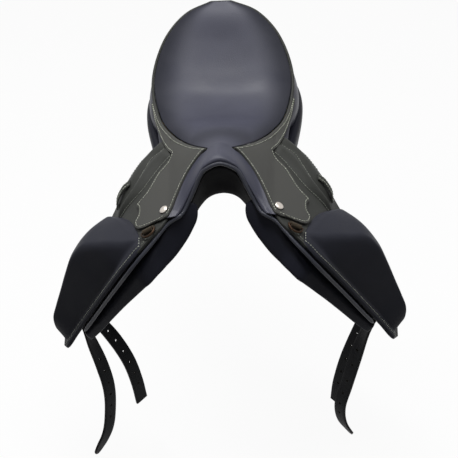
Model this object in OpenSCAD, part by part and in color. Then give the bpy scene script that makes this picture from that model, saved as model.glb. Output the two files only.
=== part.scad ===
// Dressage saddle, built up from the tree outwards as a saddler builds it.
// Forward is -Y, up is +Z, and the rider's left side is +X.
// The origin lies in the gullet channel at mid length, where a saddle rack carries the saddle.
// All sizes are in millimetres.

/* [Leather] */
// Thickness of the saddle flaps
flap_t = 5; // [3:0.5:7]
// Thickness of the skirts
skirt_t = 4; // [2.5:0.5:5]
// Thickness of the sweat flaps
sweat_t = 4; // [2.5:0.5:6]
// Thickness of the seat leather
cover_t = 2.5; // [1.5:0.5:4]
// Thickness of the facings and the gullet lining
facing_t = 2.5; // [1.5:0.5:4]
// Diameter of the piping along the head and the panel fronts
piping_d = 6; // [4:0.5:7]
// Diameter of the welt around the seat
welt_d = 5; // [3:0.5:6]

/* [Seat] */
// Thickness of the seat foam at the deepest point
foam_t = 22; // [14:1:24]
// Width of the seat webbing
webbing_w = 60; // [40:5:80]
// Thickness of the seat webbing
webbing_t = 2; // [1.5:0.5:2.5]

/* [Tree] */
// Width of the tree rails
rail_w = 30; // [22:1:32]
// Thickness of the tree rails
rail_t = 10; // [7:0.5:12]
// Width of the steel head plate
head_plate_w = 22; // [16:1:24]
// Thickness of the steel head plate
head_plate_t = 3; // [2:0.5:4]

/* [Knee blocks] */
// Height of the knee block crest above the flap
block_h = 58; // [30:1:66]
// Thickness of the knee block leather
block_cover_t = 2.5; // [1.5:0.5:4]

/* [Panels] */
// Thickness of the panel leg behind its front roll
leg_t = 26; // [18:1:34]
// Thickness of the front roll of the panel leg
roll_t = 46; // [36:1:54]

/* [Girth straps] */
// Width of a girth strap
strap_w = 25; // [20:1:30]
// Thickness of a girth strap
strap_t = 4; // [2.5:0.5:5]
// Diameter of a buckle hole
hole_d = 5; // [3:0.5:7]
// Distance between buckle holes
hole_pitch = 25; // [18:1:26]
// Number of buckle holes in a strap
hole_count = 6; // [3:1:6]

/* [Stirrup bars] */
// Length of a stirrup bar
bar_l = 66; // [56:1:74]
// Width of a stirrup bar
bar_w = 8; // [7:0.5:11]
// Thickness of a stirrup bar
bar_t = 6; // [5:0.5:7]
// Clear slot between the bar and its base plate
bar_slot = 10; // [8:0.5:12]
// Thickness of the base plate
bar_plate_t = 3; // [2:0.5:4]
// Diameter of the catch pin
pin_d = 3; // [2:0.25:3.5]

/* [Fittings] */
// Diameter of a skirt stud
stud_d = 14; // [10:1:18]
// Height of a skirt stud
stud_h = 4; // [3:0.5:6]
// Inside width of a breastplate dee
dee_w = 20; // [20:1:30]
// Wire diameter of a breastplate dee
dee_wire = 3.5; // [3:0.5:5]
// Width of a stirrup leather keeper
keeper_w = 14; // [10:1:16]
// Clear height under a keeper
keeper_gap = 6.5; // [5:0.5:10]
// Thickness of a keeper
keeper_t = 3; // [2:0.5:4]

/* [Hidden] */

// Clearance between two layers of leather
layer_gap = 0.5;
// Clearance between two pieces that lie on each other
seat_gap = 0.3;
// Clearance between the seat leather and its foam
foam_gap = 0.8;
// Running clearance of a pin in the piece that turns on it, across the diameter
turn_gap = 0.4;
// Clearance of a riveted pin or rivet in its hole, across the diameter
rivet_gap = 0.1;
// How far a cutting shape reaches past the face that it cuts
cut_over = 1;

// The outer face of the flap hangs over the panel as a flat slope, a bend and a steeper slope
slope_x = 84;
slope_z = 24;
top_slope = 30;
hang_slope = 60;
flat_len = 35;
bend_r = 130;
bend_len = bend_r * (hang_slope - top_slope) * PI / 180;
// The flap stands further out towards the rear, by this much per millimetre from the stud line
flare = 0.11;
flare_y = -200;
flare_angle = atan(flare);

// Layers over the panel, measured out from the flap's outer face
skirt_in = 2 * layer_gap;
skirt_out = skirt_in + skirt_t;
strap_out = -flap_t - layer_gap;
strap_in = strap_out - strap_t;
sweat_out = strap_in - layer_gap;
sweat_in = sweat_out - sweat_t;
leg_out = sweat_in - layer_gap;
bar_out = -3;
bar_in = bar_out - bar_t;
bar_plate_out = bar_in - bar_slot;
bar_plate_in = bar_plate_out - bar_plate_t;

// Places down the slope
bar_s = 14;
bar_y = -142;
skirt_hinge_s = 14;
flap_hinge_s = 62;
hinge_gap = 0.6;
flap_top_end_s = flap_hinge_s - 2 * layer_gap;
layer_top_s = 36;
web_end_s = 60;
leg_start_s = 47;
leg_end_s = 280;
strap_below_leg = 6;
strap_hinge_s = leg_end_s + strap_below_leg;
flap_end_s = 338;

// Seat edge from the pommel round to the cantle, and the middle of the seat beside each point
seat_rim = [[19, -125, 91], [38, -100, 80], [56, -66, 66], [80, -20, 55], [105, 30, 57],
    [122, 87, 82], [120, 130, 112], [99, 170, 147], [61, 200, 174], [17, 214, 188]];
seat_mid = [[0, -122, 98], [0, -98, 92], [0, -64, 81], [0, -20, 62], [0, 30, 48],
    [0, 84, 55], [0, 122, 80], [0, 160, 117], [0, 192, 158], [0, 211, 186]];
// Share of the foam thickness from the pommel to the cantle
foam_share = [[0, 0.3], [0.2, 0.75], [0.4, 1], [0.9, 1], [1, 0.9]];

// Head arch, from its top down the left side, and the line where pommel leather meets the skirt
arch_line = [[0, -168, 86], [19, -171, 79], [28.5, -176, 70], [36, -181, 59], [44, -187, 46],
    [51.5, -194, 33], [58, -203, 25], [64, -210, 23]];
pommel_line = [[0, -124, 97], [20, -127, 90], [31, -141, 82], [40, -151, 72], [48.5, -159, 62],
    [57.5, -173, 54], [67, -189, 42], [74, -214, 35]];

// Flap outline as fore and aft places against the distance down the slope
flap_front = [[36, -240], [60, -254], [85, -260], [125, -252], [175, -240], [230, -228], [285, -217],
    [323, -210], [338, -190]];
flap_rear = [[36, -14], [70, -48], [120, -72], [180, -78], [240, -80], [296, -92], [326, -112], [338, -135]];
// Upper and lower edge of the fixed flap top against fore and aft place
flap_top_upper = [[-252, 52], [-240, 32], [-224, 22], [-212, 22], [-206, 36], [-106, 36], [-98, 24], [-88, 2],
    [-60, -6], [-30, 0], [-14, 18]];
flap_top_lower = [[-252, flap_top_end_s], [-40, flap_top_end_s], [-38, 58], [-27, 44], [-14, 30]];
// Lower edge of the skirt against fore and aft place
skirt_lower_edge = [[-215, 22], [-211, 44], [-204, 53], [-195, 57], [-186, 57], [-176, 51], [-160, 50],
    [-150, 54], [-145, 53], [-138, 43], [-128, 33], [-114, 24], [-103, 17]];

// Value between a and b, at the share t of the way
function mix(a, b, t) = a + (b - a) * t;
function ease(t) = let(c = max(0, min(1, t))) c * c * (3 - 2 * c);
function unit(v) = v / norm(v);
function steps(n) = [for (i = [0:n]) i / n];

// Smooth curve through knots of [place, value]
function knot_before(k, t, i = 0) = i >= len(k) - 2 || t < k[i + 1][0] ? i : knot_before(k, t, i + 1);
function knot_grade(k, i) = let(a = max(0, i - 1), b = min(len(k) - 1, i + 1))
    (k[b][1] - k[a][1]) / (k[b][0] - k[a][0]);
function curve(k, t) =
    let(i = knot_before(k, t), h = k[i + 1][0] - k[i][0], u = max(0, min(1, (t - k[i][0]) / h)))
    k[i][1] * (2 * pow(u, 3) - 3 * u * u + 1) + knot_grade(k, i) * h * (pow(u, 3) - 2 * u * u + u)
    + k[i + 1][1] * (3 * u * u - 2 * pow(u, 3)) + knot_grade(k, i + 1) * h * (pow(u, 3) - u * u);
function along(points, t) =
    curve([for (i = [0:len(points) - 1]) [i / (len(points) - 1), points[i]]], t);
function mirror_x(p) = [-p[0], p[1], p[2]];

// Place on the slope: s runs down it, y runs fore and aft, d stands out from it
function slope_angle(s) = top_slope + (hang_slope - top_slope) * max(0, min(1, (s - flat_len) / bend_len));
function slope_base(s) =
    let(a = slope_angle(s), before = min(s, flat_len), after = max(0, s - flat_len - bend_len))
    [slope_x + before * cos(top_slope) + bend_r * (sin(a) - sin(top_slope)) + after * cos(hang_slope),
     slope_z - before * sin(top_slope) + bend_r * (cos(a) - cos(top_slope)) - after * sin(hang_slope)];
function on_slope(s, y, d) =
    let(a = slope_angle(s), p = slope_base(s), out = d + flare * (y - flare_y))
    [p[0] + out * sin(a), y, p[1] + out * cos(a)];
// The s and d of a point above the flat part of the slope
function slope_s(p) = (p[0] - slope_x) * cos(top_slope) - (p[2] - slope_z) * sin(top_slope);
function slope_d(p) = (p[0] - slope_x) * sin(top_slope) + (p[2] - slope_z) * cos(top_slope)
    - flare * (p[1] - flare_y);

// Closed solid from points and triangles, whichever way round the triangles were listed
module closed_solid(points, faces) {
    shares = [for (f = faces) points[f[0]] * cross(points[f[1]], points[f[2]])];
    total = shares * [for (f = faces) 1];
    polyhedron(points, total > 0 ? [for (f = faces) [f[2], f[1], f[0]]] : faces);
}

// Sheet of leather between two grids of points
module sheet(top, bottom) {
    n = len(top);
    m = len(top[0]);
    low = n * m;
    points = [for (grid = [top, bottom]) for (row = grid) each row];
    upper = [for (i = [0:n - 2]) for (j = [0:m - 2]) let(a = i * m + j, c = a + m + 1)
        each [[a, a + 1, c], [a, c, a + m]]];
    under = [for (f = upper) [f[2] + low, f[1] + low, f[0] + low]];
    edge = concat([for (j = [0:m - 1]) j], [for (i = [1:n - 1]) i * m + m - 1],
        [for (j = [m - 2:-1:0]) (n - 1) * m + j], [for (i = [n - 2:-1:1]) i * m]);
    sides = [for (k = [0:len(edge) - 1]) let(a = edge[k], b = edge[(k + 1) % len(edge)])
        each [[b, a, a + low], [b, a + low, b + low]]];
    closed_solid(points, concat(upper, under, sides));
}

// Solid through a row of rings of points
module loft(rings, closed = false) {
    n = len(rings);
    m = len(rings[0]);
    end = (n - 1) * m;
    points = [for (ring = rings) each ring];
    walls = [for (i = [0:closed ? n - 1 : n - 2]) for (j = [0:m - 1])
        let(next = ((i + 1) % n) * m, turn = (j + 1) % m, a = i * m + j, c = next + turn)
        each [[a, i * m + turn, c], [a, c, next + j]]];
    caps = closed ? [] : concat([for (j = [1:m - 2]) [0, j + 1, j]],
        [for (j = [1:m - 2]) [end, end + j, end + j + 1]]);
    closed_solid(points, concat(walls, caps));
}

// Direction of a path of points at one of them
function heading(path, i) = unit(path[min(len(path) - 1, i + 1)] - path[max(0, i - 1)]);

// Round tube along a path, its rings squared to the given side direction
module tube(path, r, sides, across) {
    loft([for (i = [0:len(path) - 1])
        let(t = heading(path, i), u = unit(cross(t, across)), v = cross(t, u))
        [for (k = [0:sides - 1]) path[i] + r * (u * cos(360 * k / sides) + v * sin(360 * k / sides))]]);
}

// Ring of points filling the four corners a, b, c and d as a soft rounded shape
function soft_ring(a, b, c, d, count, fullness) = [for (k = [0:count - 1])
    let(angle = 360 * k / count, cu = cos(angle), cv = sin(angle),
        u = 0.5 + 0.5 * sign(cu) * pow(abs(cu), fullness), v = 0.5 + 0.5 * sign(cv) * pow(abs(cv), fullness))
    mix(mix(a, b, u), mix(d, c, u), v)];

// Carries children to a place on the slope: local x runs down it, y runs aft and z stands out
module at_slope(s, y, d) {
    translate(on_slope(s, y, d)) rotate([0, slope_angle(s), 0]) rotate([flare_angle, 0, 0]) children();
}

// Puts a left piece on the side that is asked for
module on_side(side) {
    if (side == "left") children();
    else mirror([1, 0, 0]) children();
}

// Point on the seat: t runs from pommel to cantle, v from the right edge to the left, drop is depth below it
function seat_at(t, v, drop) =
    let(r = along(seat_rim, t), c = along(seat_mid, t), a = abs(v))
    [r[0] * v, mix(c[1], r[1], a * a), mix(c[2], r[2], a * a) - drop];
function foam_at(t) = foam_t * curve(foam_share, t);
function web_drop(t) = cover_t + foam_gap + foam_at(t) + 2 * seat_gap;

// Grid of the seat, which the foam shares up to its own edge
seat_rows = 20;
seat_across = [for (i = [-7:7]) i / 7];
// Share of the seat's length and half width that the foam fills
foam_reach = 0.91;

module seat_cover() {
    color("#2b2d33") sheet(
        [for (t = steps(seat_rows)) [for (v = seat_across) seat_at(t, v, 0)]],
        [for (t = steps(seat_rows)) [for (v = seat_across) seat_at(t, v, cover_t)]]);
}

module seat_foam() {
    rows = [for (t = steps(seat_rows)) t * foam_reach];
    color("#d8cfa8") sheet(
        [for (t = rows) [for (v = seat_across) seat_at(t, v * foam_reach, cover_t + foam_gap)]],
        [for (t = rows) [for (v = seat_across) seat_at(t, v * foam_reach, cover_t + foam_gap + foam_at(t))]]);
}

module seat_webbing() {
    first_t = 0.02;
    last_t = 0.9;
    widest = 0.6;
    function reach(t) = min(widest, webbing_w / 2 / along(seat_rim, t)[0]);
    function grid(sink) = [for (k = steps(seat_rows)) let(t = mix(first_t, last_t, k))
        [for (v = [-1:0.5:1]) seat_at(t, v * reach(t), web_drop(t) + sink)]];
    color("#b9ad8e") sheet(grid(0), grid(webbing_t));
}

// Sides of the welt and of the piping
cord_sides = 6;

// Path of the welt just outside the seat edge
function edge_out(t) =
    let(nudge = 0.01, h = along(seat_rim, min(1, t + nudge)) - along(seat_rim, max(0, t - nudge)))
    unit([h[1], -h[0], 0]);
function welt_at(t) = along(seat_rim, t) + edge_out(t) * (welt_d / 2 + seat_gap) - [0, 0, welt_d / 2];

module seat_welt() {
    half = [for (t = steps(24)) welt_at(t)];
    color("#1d1e22") tube(concat(half, [for (i = [len(half) - 1:-1:0]) mirror_x(half[i])]),
        welt_d / 2, cord_sides, [0, 0, 1]);
}

// Depth of the leather and the foam over the tree
seat_depth = cover_t + foam_gap + foam_t;
// Tree: head, rails and cantle in one loop, as points in the wood and the way their flats face
tree_line = [[0, -134, 79], [22, -133, 70], [41, -131, 51], [60, -124, 25], [74, -110, 6], [82, -80, 8],
    [82, -40, 12], [86, 10, 42 - seat_depth], [92, 60, 45 - seat_depth], [95, 105, 60 - seat_depth],
    [84, 145, 87 - seat_depth], [52, 176, 119 - seat_depth], [0, 188, 134 - seat_depth]];
tree_face = [[0, 0.45, 0.89], [0.4, 0.4, 0.82], [0.7, 0.2, 0.7], [0.7, 0, 0.72], [0.5, 0, 0.866],
    [0.5, 0, 0.866], [0.4, 0, 0.9], [0.2, 0, 1], [0.1, -0.1, 1], [0.1, -0.3, 0.95], [0, -0.5, 0.86],
    [0, -0.6, 0.8], [0, -0.6, 0.8]];
// Height of the wood above those points, so that a thicker rail grows downwards
tree_rise = 5;

// Ring of a flat bar at a point, from one side to the other and from its top down by its thickness
function bar_ring(p, h, face, wide, top, thick) =
    let(b = unit(cross(h, face)), f = cross(b, h))
    [for (c = [[-1, -1], [1, -1], [1, 0], [-1, 0]]) p + b * c[0] * wide / 2 + f * (top + c[1] * thick)];

module tree() {
    n = 26;
    half = [for (t = steps(n)) along(tree_line, t)];
    face = [for (t = steps(n)) along(tree_face, t)];
    line = concat(half, [for (i = [n - 1:-1:1]) mirror_x(half[i])]);
    faces = concat(face, [for (i = [n - 1:-1:1]) mirror_x(face[i])]);
    count = len(line);
    color("#c9a46a") loft([for (i = [0:count - 1])
        let(h = unit(line[(i + 1) % count] - line[(i + count - 1) % count]))
        bar_ring(line[i], h, faces[i], rail_w, tree_rise, rail_t)], closed = true);
}

// Steel arch under the front of the tree, with a point down each side under the stirrup bar
head_under = rail_t - tree_rise + seat_gap;
head_face = [[0, 0.45, 0.89], [0.4, 0.4, 0.82], [0.7, 0.2, 0.7], [0.75, 0, 0.66], [0.7, 0, 0.72],
    [0.55, -0.05, 0.83], [0.5, -0.1, 0.866], [0.5, -0.1, 0.866]];
head_arch = [[0, -134.5, 77.5], [21.5, -134.5, 69], [40, -136, 49.5], [53, -144, 35], [65, -154, 20]];
head_point_y = bar_y - 24;
head_point_s = [2, 14, 24];
head_line = concat([for (i = [0:len(head_arch) - 1]) head_arch[i] - unit(head_face[i]) * head_under],
    [for (s = head_point_s) on_slope(s, head_point_y, bar_plate_in - 2 * seat_gap)]);

module head_plate() {
    n = 14;
    half = [for (t = steps(n)) along(head_line, t)];
    face = [for (t = steps(n)) along(head_face, t)];
    line = concat([for (i = [n:-1:1]) mirror_x(half[i])], half);
    faces = concat([for (i = [n:-1:1]) mirror_x(face[i])], face);
    color("#8d9196") loft([for (i = [0:len(line) - 1])
        bar_ring(line[i], heading(line, i), faces[i], head_plate_w, 0, head_plate_t)]);
}

// Gullet lining: an arch at the head that flattens into the roof of the channel
lining_front_y = arch_line[0][1] + piping_d / 2 - layer_gap;
lining_rear_y = 212;
lining_roof = [[lining_front_y, 83], [-148, 52], [-128, 14], [-104, -6], [-60, -5], [0, facing_t], [80, 8],
    [150, 26], [lining_rear_y, 58]];
channel_roof = [[0, 0], [12, -1], [20, -3], [26, -5], [31, -8], [36, -12]];
// Length over which the arch flattens out
arch_run = 70;
function lining_at(y, k, out) =
    let(e = ease((y - lining_front_y) / arch_run), head = along([for (i = [0:4]) arch_line[i]], k),
        roof = along(channel_roof, k), z = curve(lining_roof, y))
    [mix(head[0], roof[0], e), y + (1 - e) * (head[1] - arch_line[0][1]),
     mix(head[2] - arch_line[0][2], roof[1], e) + z + out];

module gullet_lining() {
    rows = [for (i = steps(18)) mix(lining_front_y, lining_rear_y, pow(i, 1.3))];
    across = [for (i = [-6:6]) i / 6];
    function grid(out) = [for (y = rows) [for (v = across) let(p = lining_at(y, abs(v), out))
        [sign(v) * p[0], p[1], p[2]]]];
    color("#17181b") sheet(grid(0), grid(-facing_t));
}

// Distance of the pommel facing from the skirt edge and from the piping
pommel_margin = 5;
piping_margin = 2;
// How far the facing swells between its edges, and the way that it swells
pommel_swell = 7;
pommel_up = [0, -0.5, 0.86];
// Pommel facing: the smooth band between the seat front, the skirts and the head arch
function pommel_at(k, w, sink) =
    let(a = along(pommel_line, k), b = along(arch_line, k), width = norm(b - a),
        first = pommel_margin / width, last = 1 - (piping_d / 2 + piping_margin) / width,
        rise = pommel_swell * sin(180 * w) * (1 - 0.4 * k))
    mix(a, b, mix(first, last, w)) + pommel_up * (rise - sink);

module pommel_facing() {
    across = [for (i = [-12:12]) i / 12];
    function grid(sink) = [for (v = across) [for (w = steps(6)) let(p = pommel_at(abs(v), w, sink))
        [sign(v) * p[0], p[1], p[2]]]];
    color("#2b2d33") sheet(grid(0), grid(facing_t));
}

// Piping over the head arch and down the front edge of each panel
piping_slope = [[2, -216], [18, -229], [36, -245], [60, -258], [90, -264], [125, -257], [175, -245],
    [230, -233], [268, -224]];
piping_out = leg_out + 6.5;

module front_piping() {
    side = concat(arch_line, [for (p = piping_slope) on_slope(p[0], p[1], piping_out)]);
    half = [for (t = steps(36)) along(side, t)];
    color("#1a1b20") tube(concat([for (i = [len(half) - 1:-1:1]) mirror_x(half[i])], half),
        piping_d / 2, cord_sides, [0, 1, 0]);
}

// Back of the cantle, from the welt down to the panels
cantle_foot = [[108, 26, 26], [122, 60, 24], [131, 100, 26], [131, 140, 31], [119, 180, 40], [84, 211, 52],
    [40, 224, 58], [0, 227, 62]];
facing_first_t = 0.475;
// How far the facing swells between its edges
facing_swell = 6;

module cantle_facing() {
    function facing_at(k, w, sink) =
        let(t = mix(facing_first_t, 1, k), a = along(seat_rim, t) - [0, 0, welt_d + 2 * seat_gap + cover_t],
            b = along(cantle_foot, k))
        mix(a, b, w) + edge_out(t) * (facing_swell * sin(180 * w) - sink);
    function half(sink) = [for (k = steps(14)) [for (w = steps(4)) facing_at(k, w, sink)]];
    function both(rows) = concat(rows, [for (i = [len(rows) - 1:-1:0]) [for (p = rows[i]) mirror_x(p)]]);
    color("#1d1e22") sheet(both(half(0)), both(half(facing_t)));
}

// Panel cushion: corners of its section from front to rear
cushion_y = [-178, -150, -80, 0, 80, 150, 200, 228];
cushion_inner_top = [[44, 12], [42, 8], [40, 2], [40, -8], [40, -10], [40, 2], [41, 26], [42, 42]];
cushion_outer_top = [[97, -28], [99, -24], [102, -16], [122, 12], [140, 18], [143, 22], [124, 38],
    [92, 52]];
cushion_outer_low = [[90, -62], [92, -64], [102, -60], [126, -42], [140, -38], [137, -26], [118, 2],
    [88, 30]];
cushion_inner_low = [[54, -30], [50, -44], [46, -54], [44, -60], [44, -60], [46, -46], [46, -10], [46, 24]];
// Points round a pad, and how square its section is, from 1 for a round one down
pad_sides = 20;
cushion_fullness = 0.55;
leg_fullness = 0.5;
function cushion_corner(list, y) =
    let(p = curve([for (i = [0:len(list) - 1]) [cushion_y[i], list[i]]], y)) [p[0], y, p[1]];
function middle(ring) = [for (a = [0:2]) [for (p = ring) p[a]] * [for (p = ring) 1 / len(ring)]];
function drawn_in(ring, share, shift) =
    let(c = middle(ring)) [for (p = ring) mix(c, p, share) + [0, shift, 0]];
function cushion_ring(y) =
    soft_ring(cushion_corner(cushion_inner_top, y), cushion_corner(cushion_outer_top, y),
        cushion_corner(cushion_outer_low, y), cushion_corner(cushion_inner_low, y),
        pad_sides, cushion_fullness);

module panel_cushion(side) {
    n = 18;
    body = [for (t = steps(n)) cushion_ring(mix(cushion_y[0], cushion_y[len(cushion_y) - 1], t))];
    front = [drawn_in(body[0], 0.6, -9), drawn_in(body[0], 0.86, -6)];
    rear = [drawn_in(body[n], 0.86, 5), drawn_in(body[n], 0.6, 8)];
    color("#1a1b20") on_side(side) loft(concat(front, body, rear));
}

// Panel leg: the padded part below the flap, with its thick roll along the front
leg_front = [[-28, -204], [0, -214], [24, -228], [46, -242], [60, -248], [90, -254], [125, -247], [175, -236],
    [230, -224], [280, -214]];
leg_rear = [[-28, -189], [42, -189], [47, -66], [90, -74], [150, -88], [220, -104], [280, -124]];
// Share of the full roll and of the leg's thickness, thin at the head and at the foot
leg_full = [[-28, 0.5], [10, 0.85], [60, 1], [110, 0.95], [150, 0.84], [200, 0.66], [240, 0.48],
    [280, 0.32]];
roll_ahead = [[-28, 4], [46, 18], [90, 24], [200, 19], [280, 10]];
head_roll_s = [-28, -12, 6, 24, 42];
// Share of the roll's thickness at the rear of the head roll
head_roll_share = 0.8;
// Length of the rounded foot and how much of the section is left at its end
leg_foot = 6;
leg_foot_share = 0.85;
function leg_ring(s) =
    let(f = curve(leg_front, s), r = lookup(s, leg_rear), full = curve(leg_full, s),
        thin = s < leg_start_s ? roll_t * head_roll_share : leg_t)
    soft_ring(on_slope(s, f, leg_out), on_slope(s, r, leg_out), on_slope(s, r, leg_out - thin * full),
        on_slope(s, f - curve(roll_ahead, s), leg_out - roll_t * full), pad_sides, leg_fullness);

module panel_leg(side) {
    body = concat([for (s = head_roll_s) leg_ring(s)],
        [for (t = steps(14)) leg_ring(mix(leg_start_s, leg_end_s - leg_foot, t))]);
    last = body[len(body) - 1];
    down = [cos(hang_slope), 0, -sin(hang_slope)] * leg_foot;
    foot = [for (p = last) mix(middle(last), p, leg_foot_share) + down];
    color("#1a1b20") on_side(side) loft(concat(body, [foot]));
}

// Leather sheets that lie on the slope between a front and a rear outline
function slope_grid(s0, s1, n, m, front, rear, d) = [for (i = steps(n)) let(s = mix(s0, s1, i))
    [for (j = steps(m)) on_slope(s, mix(curve(front, s), curve(rear, s), j), d)]];

sweat_front = [[36, -228], [60, -242], [90, -250], [125, -244], [175, -233], [230, -221], [270, -212],
    [280, -200]];
sweat_rear = [[36, -66], [90, -78], [150, -92], [220, -106], [270, -122], [280, -136]];

module sweat_flap(side) {
    color("#202126") on_side(side) sheet(
        slope_grid(layer_top_s, leg_end_s, 16, 4, sweat_front, sweat_rear, sweat_out),
        slope_grid(layer_top_s, leg_end_s, 16, 4, sweat_front, sweat_rear, sweat_in));
}

module flap_top(side) {
    first_y = flap_top_upper[0][0];
    last_y = flap_top_upper[len(flap_top_upper) - 1][0];
    function grid(d) = [for (i = steps(20))
        let(y = mix(first_y, last_y, i), a = lookup(y, flap_top_upper), b = lookup(y, flap_top_lower))
        [for (j = steps(4)) on_slope(mix(a, b, j), y, d)]];
    color("#24252a") on_side(side) sheet(grid(0), grid(-flap_t));
}

module flap(side) {
    color("#24252a") on_side(side) sheet(
        slope_grid(flap_hinge_s + hinge_gap, flap_end_s, 20, 5, flap_front, flap_rear, 0),
        slope_grid(flap_hinge_s + hinge_gap, flap_end_s, 20, 5, flap_front, flap_rear, -flap_t));
}

// Knee block: height and crest line against the distance down the slope
block_rise = [[66, 0.03], [80, 0.16], [96, 0.46], [112, 0.86], [135, 0.97], [160, 0.99], [200, 0.92],
    [240, 0.8], [275, 0.71], [300, 0.62], [320, 0.38], [332, 0.1]];
block_front = [[66, -234], [84, -239], [110, -241], [150, -233], [200, -222], [260, -209], [308, -203],
    [332, -194]];
block_rear = [[66, -128], [84, -119], [110, -116], [150, -124], [200, -134], [260, -146], [308, -154],
    [332, -162]];
// Place of the crest between the front and the rear edge, and the fullness of the sides below it
block_crest = 0.38;
block_fullness = 0.75;
block_first_s = block_rise[0][0];
block_last_s = block_rise[len(block_rise) - 1][0];
block_rows = 16;
block_columns = 12;
function block_height(s, j) =
    let(side = j < block_crest ? j / block_crest : (1 - j) / (1 - block_crest))
    block_h * curve(block_rise, s) * pow(sin(90 * side), block_fullness);
// Point of the block at the grid line i down it and j across it, d out from the flap
function block_at(i, j, d) =
    let(s = mix(block_first_s, block_last_s, i / block_rows))
    on_slope(s, mix(curve(block_front, s), curve(block_rear, s), j / block_columns), d);
function block_top(i, j) =
    block_height(mix(block_first_s, block_last_s, i / block_rows), j / block_columns);

module knee_block_cover(side) {
    function grid(out) = [for (i = [0:block_rows]) [for (j = [0:block_columns])
        block_at(i, j, seat_gap + block_top(i, j) + out)]];
    color("#1f2025") on_side(side) sheet(grid(block_cover_t), grid(0));
}

// The core fills the cover up to one grid line inside its edge
module knee_block_core(side) {
    function grid(share) = [for (i = [1:block_rows - 1]) [for (j = [1:block_columns - 1])
        block_at(i, j, seat_gap + share * (block_top(i, j) - seat_gap))]];
    color("#d8cfa8") on_side(side) sheet(grid(1), grid(0));
}

// Keeper for the end of the stirrup leather, a band that bridges over the flap
keeper_first = [66, -79];
keeper_last = [105, -97];
// Share of its length in which the band rises to its full height
keeper_ramp = 0.3;

module leather_keeper(side) {
    function bridge(k) = seat_gap + keeper_gap * ease(min(k, 1 - k) / keeper_ramp);
    function grid(out) = [for (k = steps(12)) let(p = mix(keeper_first, keeper_last, k))
        [for (w = [-0.5, 0.5]) on_slope(p[0], p[1] + w * keeper_w, bridge(k) + out)]];
    color("#24252a") on_side(side) sheet(grid(keeper_t), grid(0));
}

// Skirt: from the welt and the pommel facing down to its hinge, then the free lower part
skirt_upper_place = [[0, 0], [0.2, 0.05], [0.5, 0.13], [0.62, 0.17], [0.76, 0.22], [1, 0.46]];
skirt_fixed_edge = [[0, [-14, -214]], [0.1, [2, -215]], [0.18, [13.7, -213]], [0.34, [13.7, -180]],
    [0.5, [13.7, -140]], [0.62, [12, -101]], [0.69, [-5, -85]], [0.76, [-12, -70]], [0.86, [-6, -44]],
    [0.94, [4, -8]], [1, [18, 36]]];
// Upper edge of the skirt, tucked in under the welt
function skirt_edge(t) = let(f = curve(skirt_upper_place, t))
    along(seat_rim, f) + edge_out(f) * (welt_d / 2 + layer_gap) - [0, 0, welt_d + skirt_t - layer_gap];
// Height of the skirt over the slope at s, for an edge at s0 and d0: it comes down flat before the stud
function skirt_lift(s, s0, d0, w) =
    let(flat_s = -stud_d * 0.75, share = max(0, min(1, (s - flat_s) / (s0 - flat_s))))
    max(0, s0 < -stud_d ? d0 * (1 - pow(1 - share, 1.7)) : d0 * (1 - w));
function skirt_at(t, w, out) =
    let(u = skirt_edge(t), s0 = slope_s(u), low = curve(skirt_fixed_edge, t),
        s = mix(s0, min(low[0], skirt_hinge_s - hinge_gap / 2), w))
    on_slope(s, mix(u[1], low[1], pow(w, mix(1.3, 1, t))), skirt_lift(s, s0, slope_d(u), w) + skirt_in + out);

module skirt_top(side) {
    function grid(out) = [for (t = steps(20)) [for (w = steps(6)) skirt_at(t, w, out)]];
    color("#3c3d3b") on_side(side) sheet(grid(skirt_t), grid(0));
}

module skirt_lower(side) {
    first_y = skirt_lower_edge[0][0] + 1;
    last_y = skirt_lower_edge[len(skirt_lower_edge) - 1][0] - 1;
    first_s = skirt_hinge_s + hinge_gap / 2;
    function grid(d) = [for (i = steps(14)) let(y = mix(first_y, last_y, i))
        [for (j = steps(4)) on_slope(mix(first_s, curve(skirt_lower_edge, y), j), y, d)]];
    color("#3c3d3b") on_side(side) sheet(grid(skirt_out), grid(skirt_in));
}

// Round stud that holds the front corner of the skirt
stud_s = 0;
stud_y = -199;

module skirt_stud(side) {
    color("#c9c0b8") on_side(side) at_slope(stud_s, stud_y, skirt_out + 2 * seat_gap)
        rotate_extrude($fn = 48) polygon([[0, 0], [stud_d / 2, 0], [stud_d / 2, stud_h / 2],
            [stud_d * 0.43, stud_h * 0.75], [stud_d / 4, stud_h], [0, stud_h]]);
}

// Stirrup bar: base plate on the tree, a post at the front and the bar open to the rear
plate_w = 20;
post_l = 10;
fork_l = 12;
catch_t = 3;
fork_gap = catch_t + 2 * seat_gap;
pin_y = bar_l / 2 - 5;
pin_z = bar_out - bar_t / 2;
rivet_d = 5;
rivet_ys = [-bar_l / 2 + post_l + 7, bar_l / 2 - fork_l - 7];

module stirrup_bar(side) {
    color("#9a9da1") on_side(side) at_slope(bar_s, bar_y, 0) difference() {
        union() {
            translate([-plate_w / 2, -bar_l / 2, bar_plate_in]) cube([plate_w, bar_l - fork_l, bar_plate_t]);
            translate([-bar_w / 2, -bar_l / 2, bar_plate_in]) cube([bar_w, post_l, bar_out - bar_plate_in]);
            translate([-bar_w / 2, -bar_l / 2, bar_in]) cube([bar_w, bar_l, bar_t]);
        }
        translate([-fork_gap / 2, bar_l / 2 - fork_l, bar_in - cut_over])
            cube([fork_gap, fork_l + cut_over, bar_t + 2 * cut_over]);
        translate([-bar_w / 2 - cut_over, pin_y, pin_z]) rotate([0, 90, 0])
            cylinder(d = pin_d + rivet_gap, h = bar_w + 2 * cut_over, $fn = 32);
        for (y = rivet_ys) translate([0, y, bar_plate_in - cut_over])
            cylinder(d = rivet_d + rivet_gap, h = bar_plate_t + 2 * cut_over, $fn = 32);
    }
}

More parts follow.
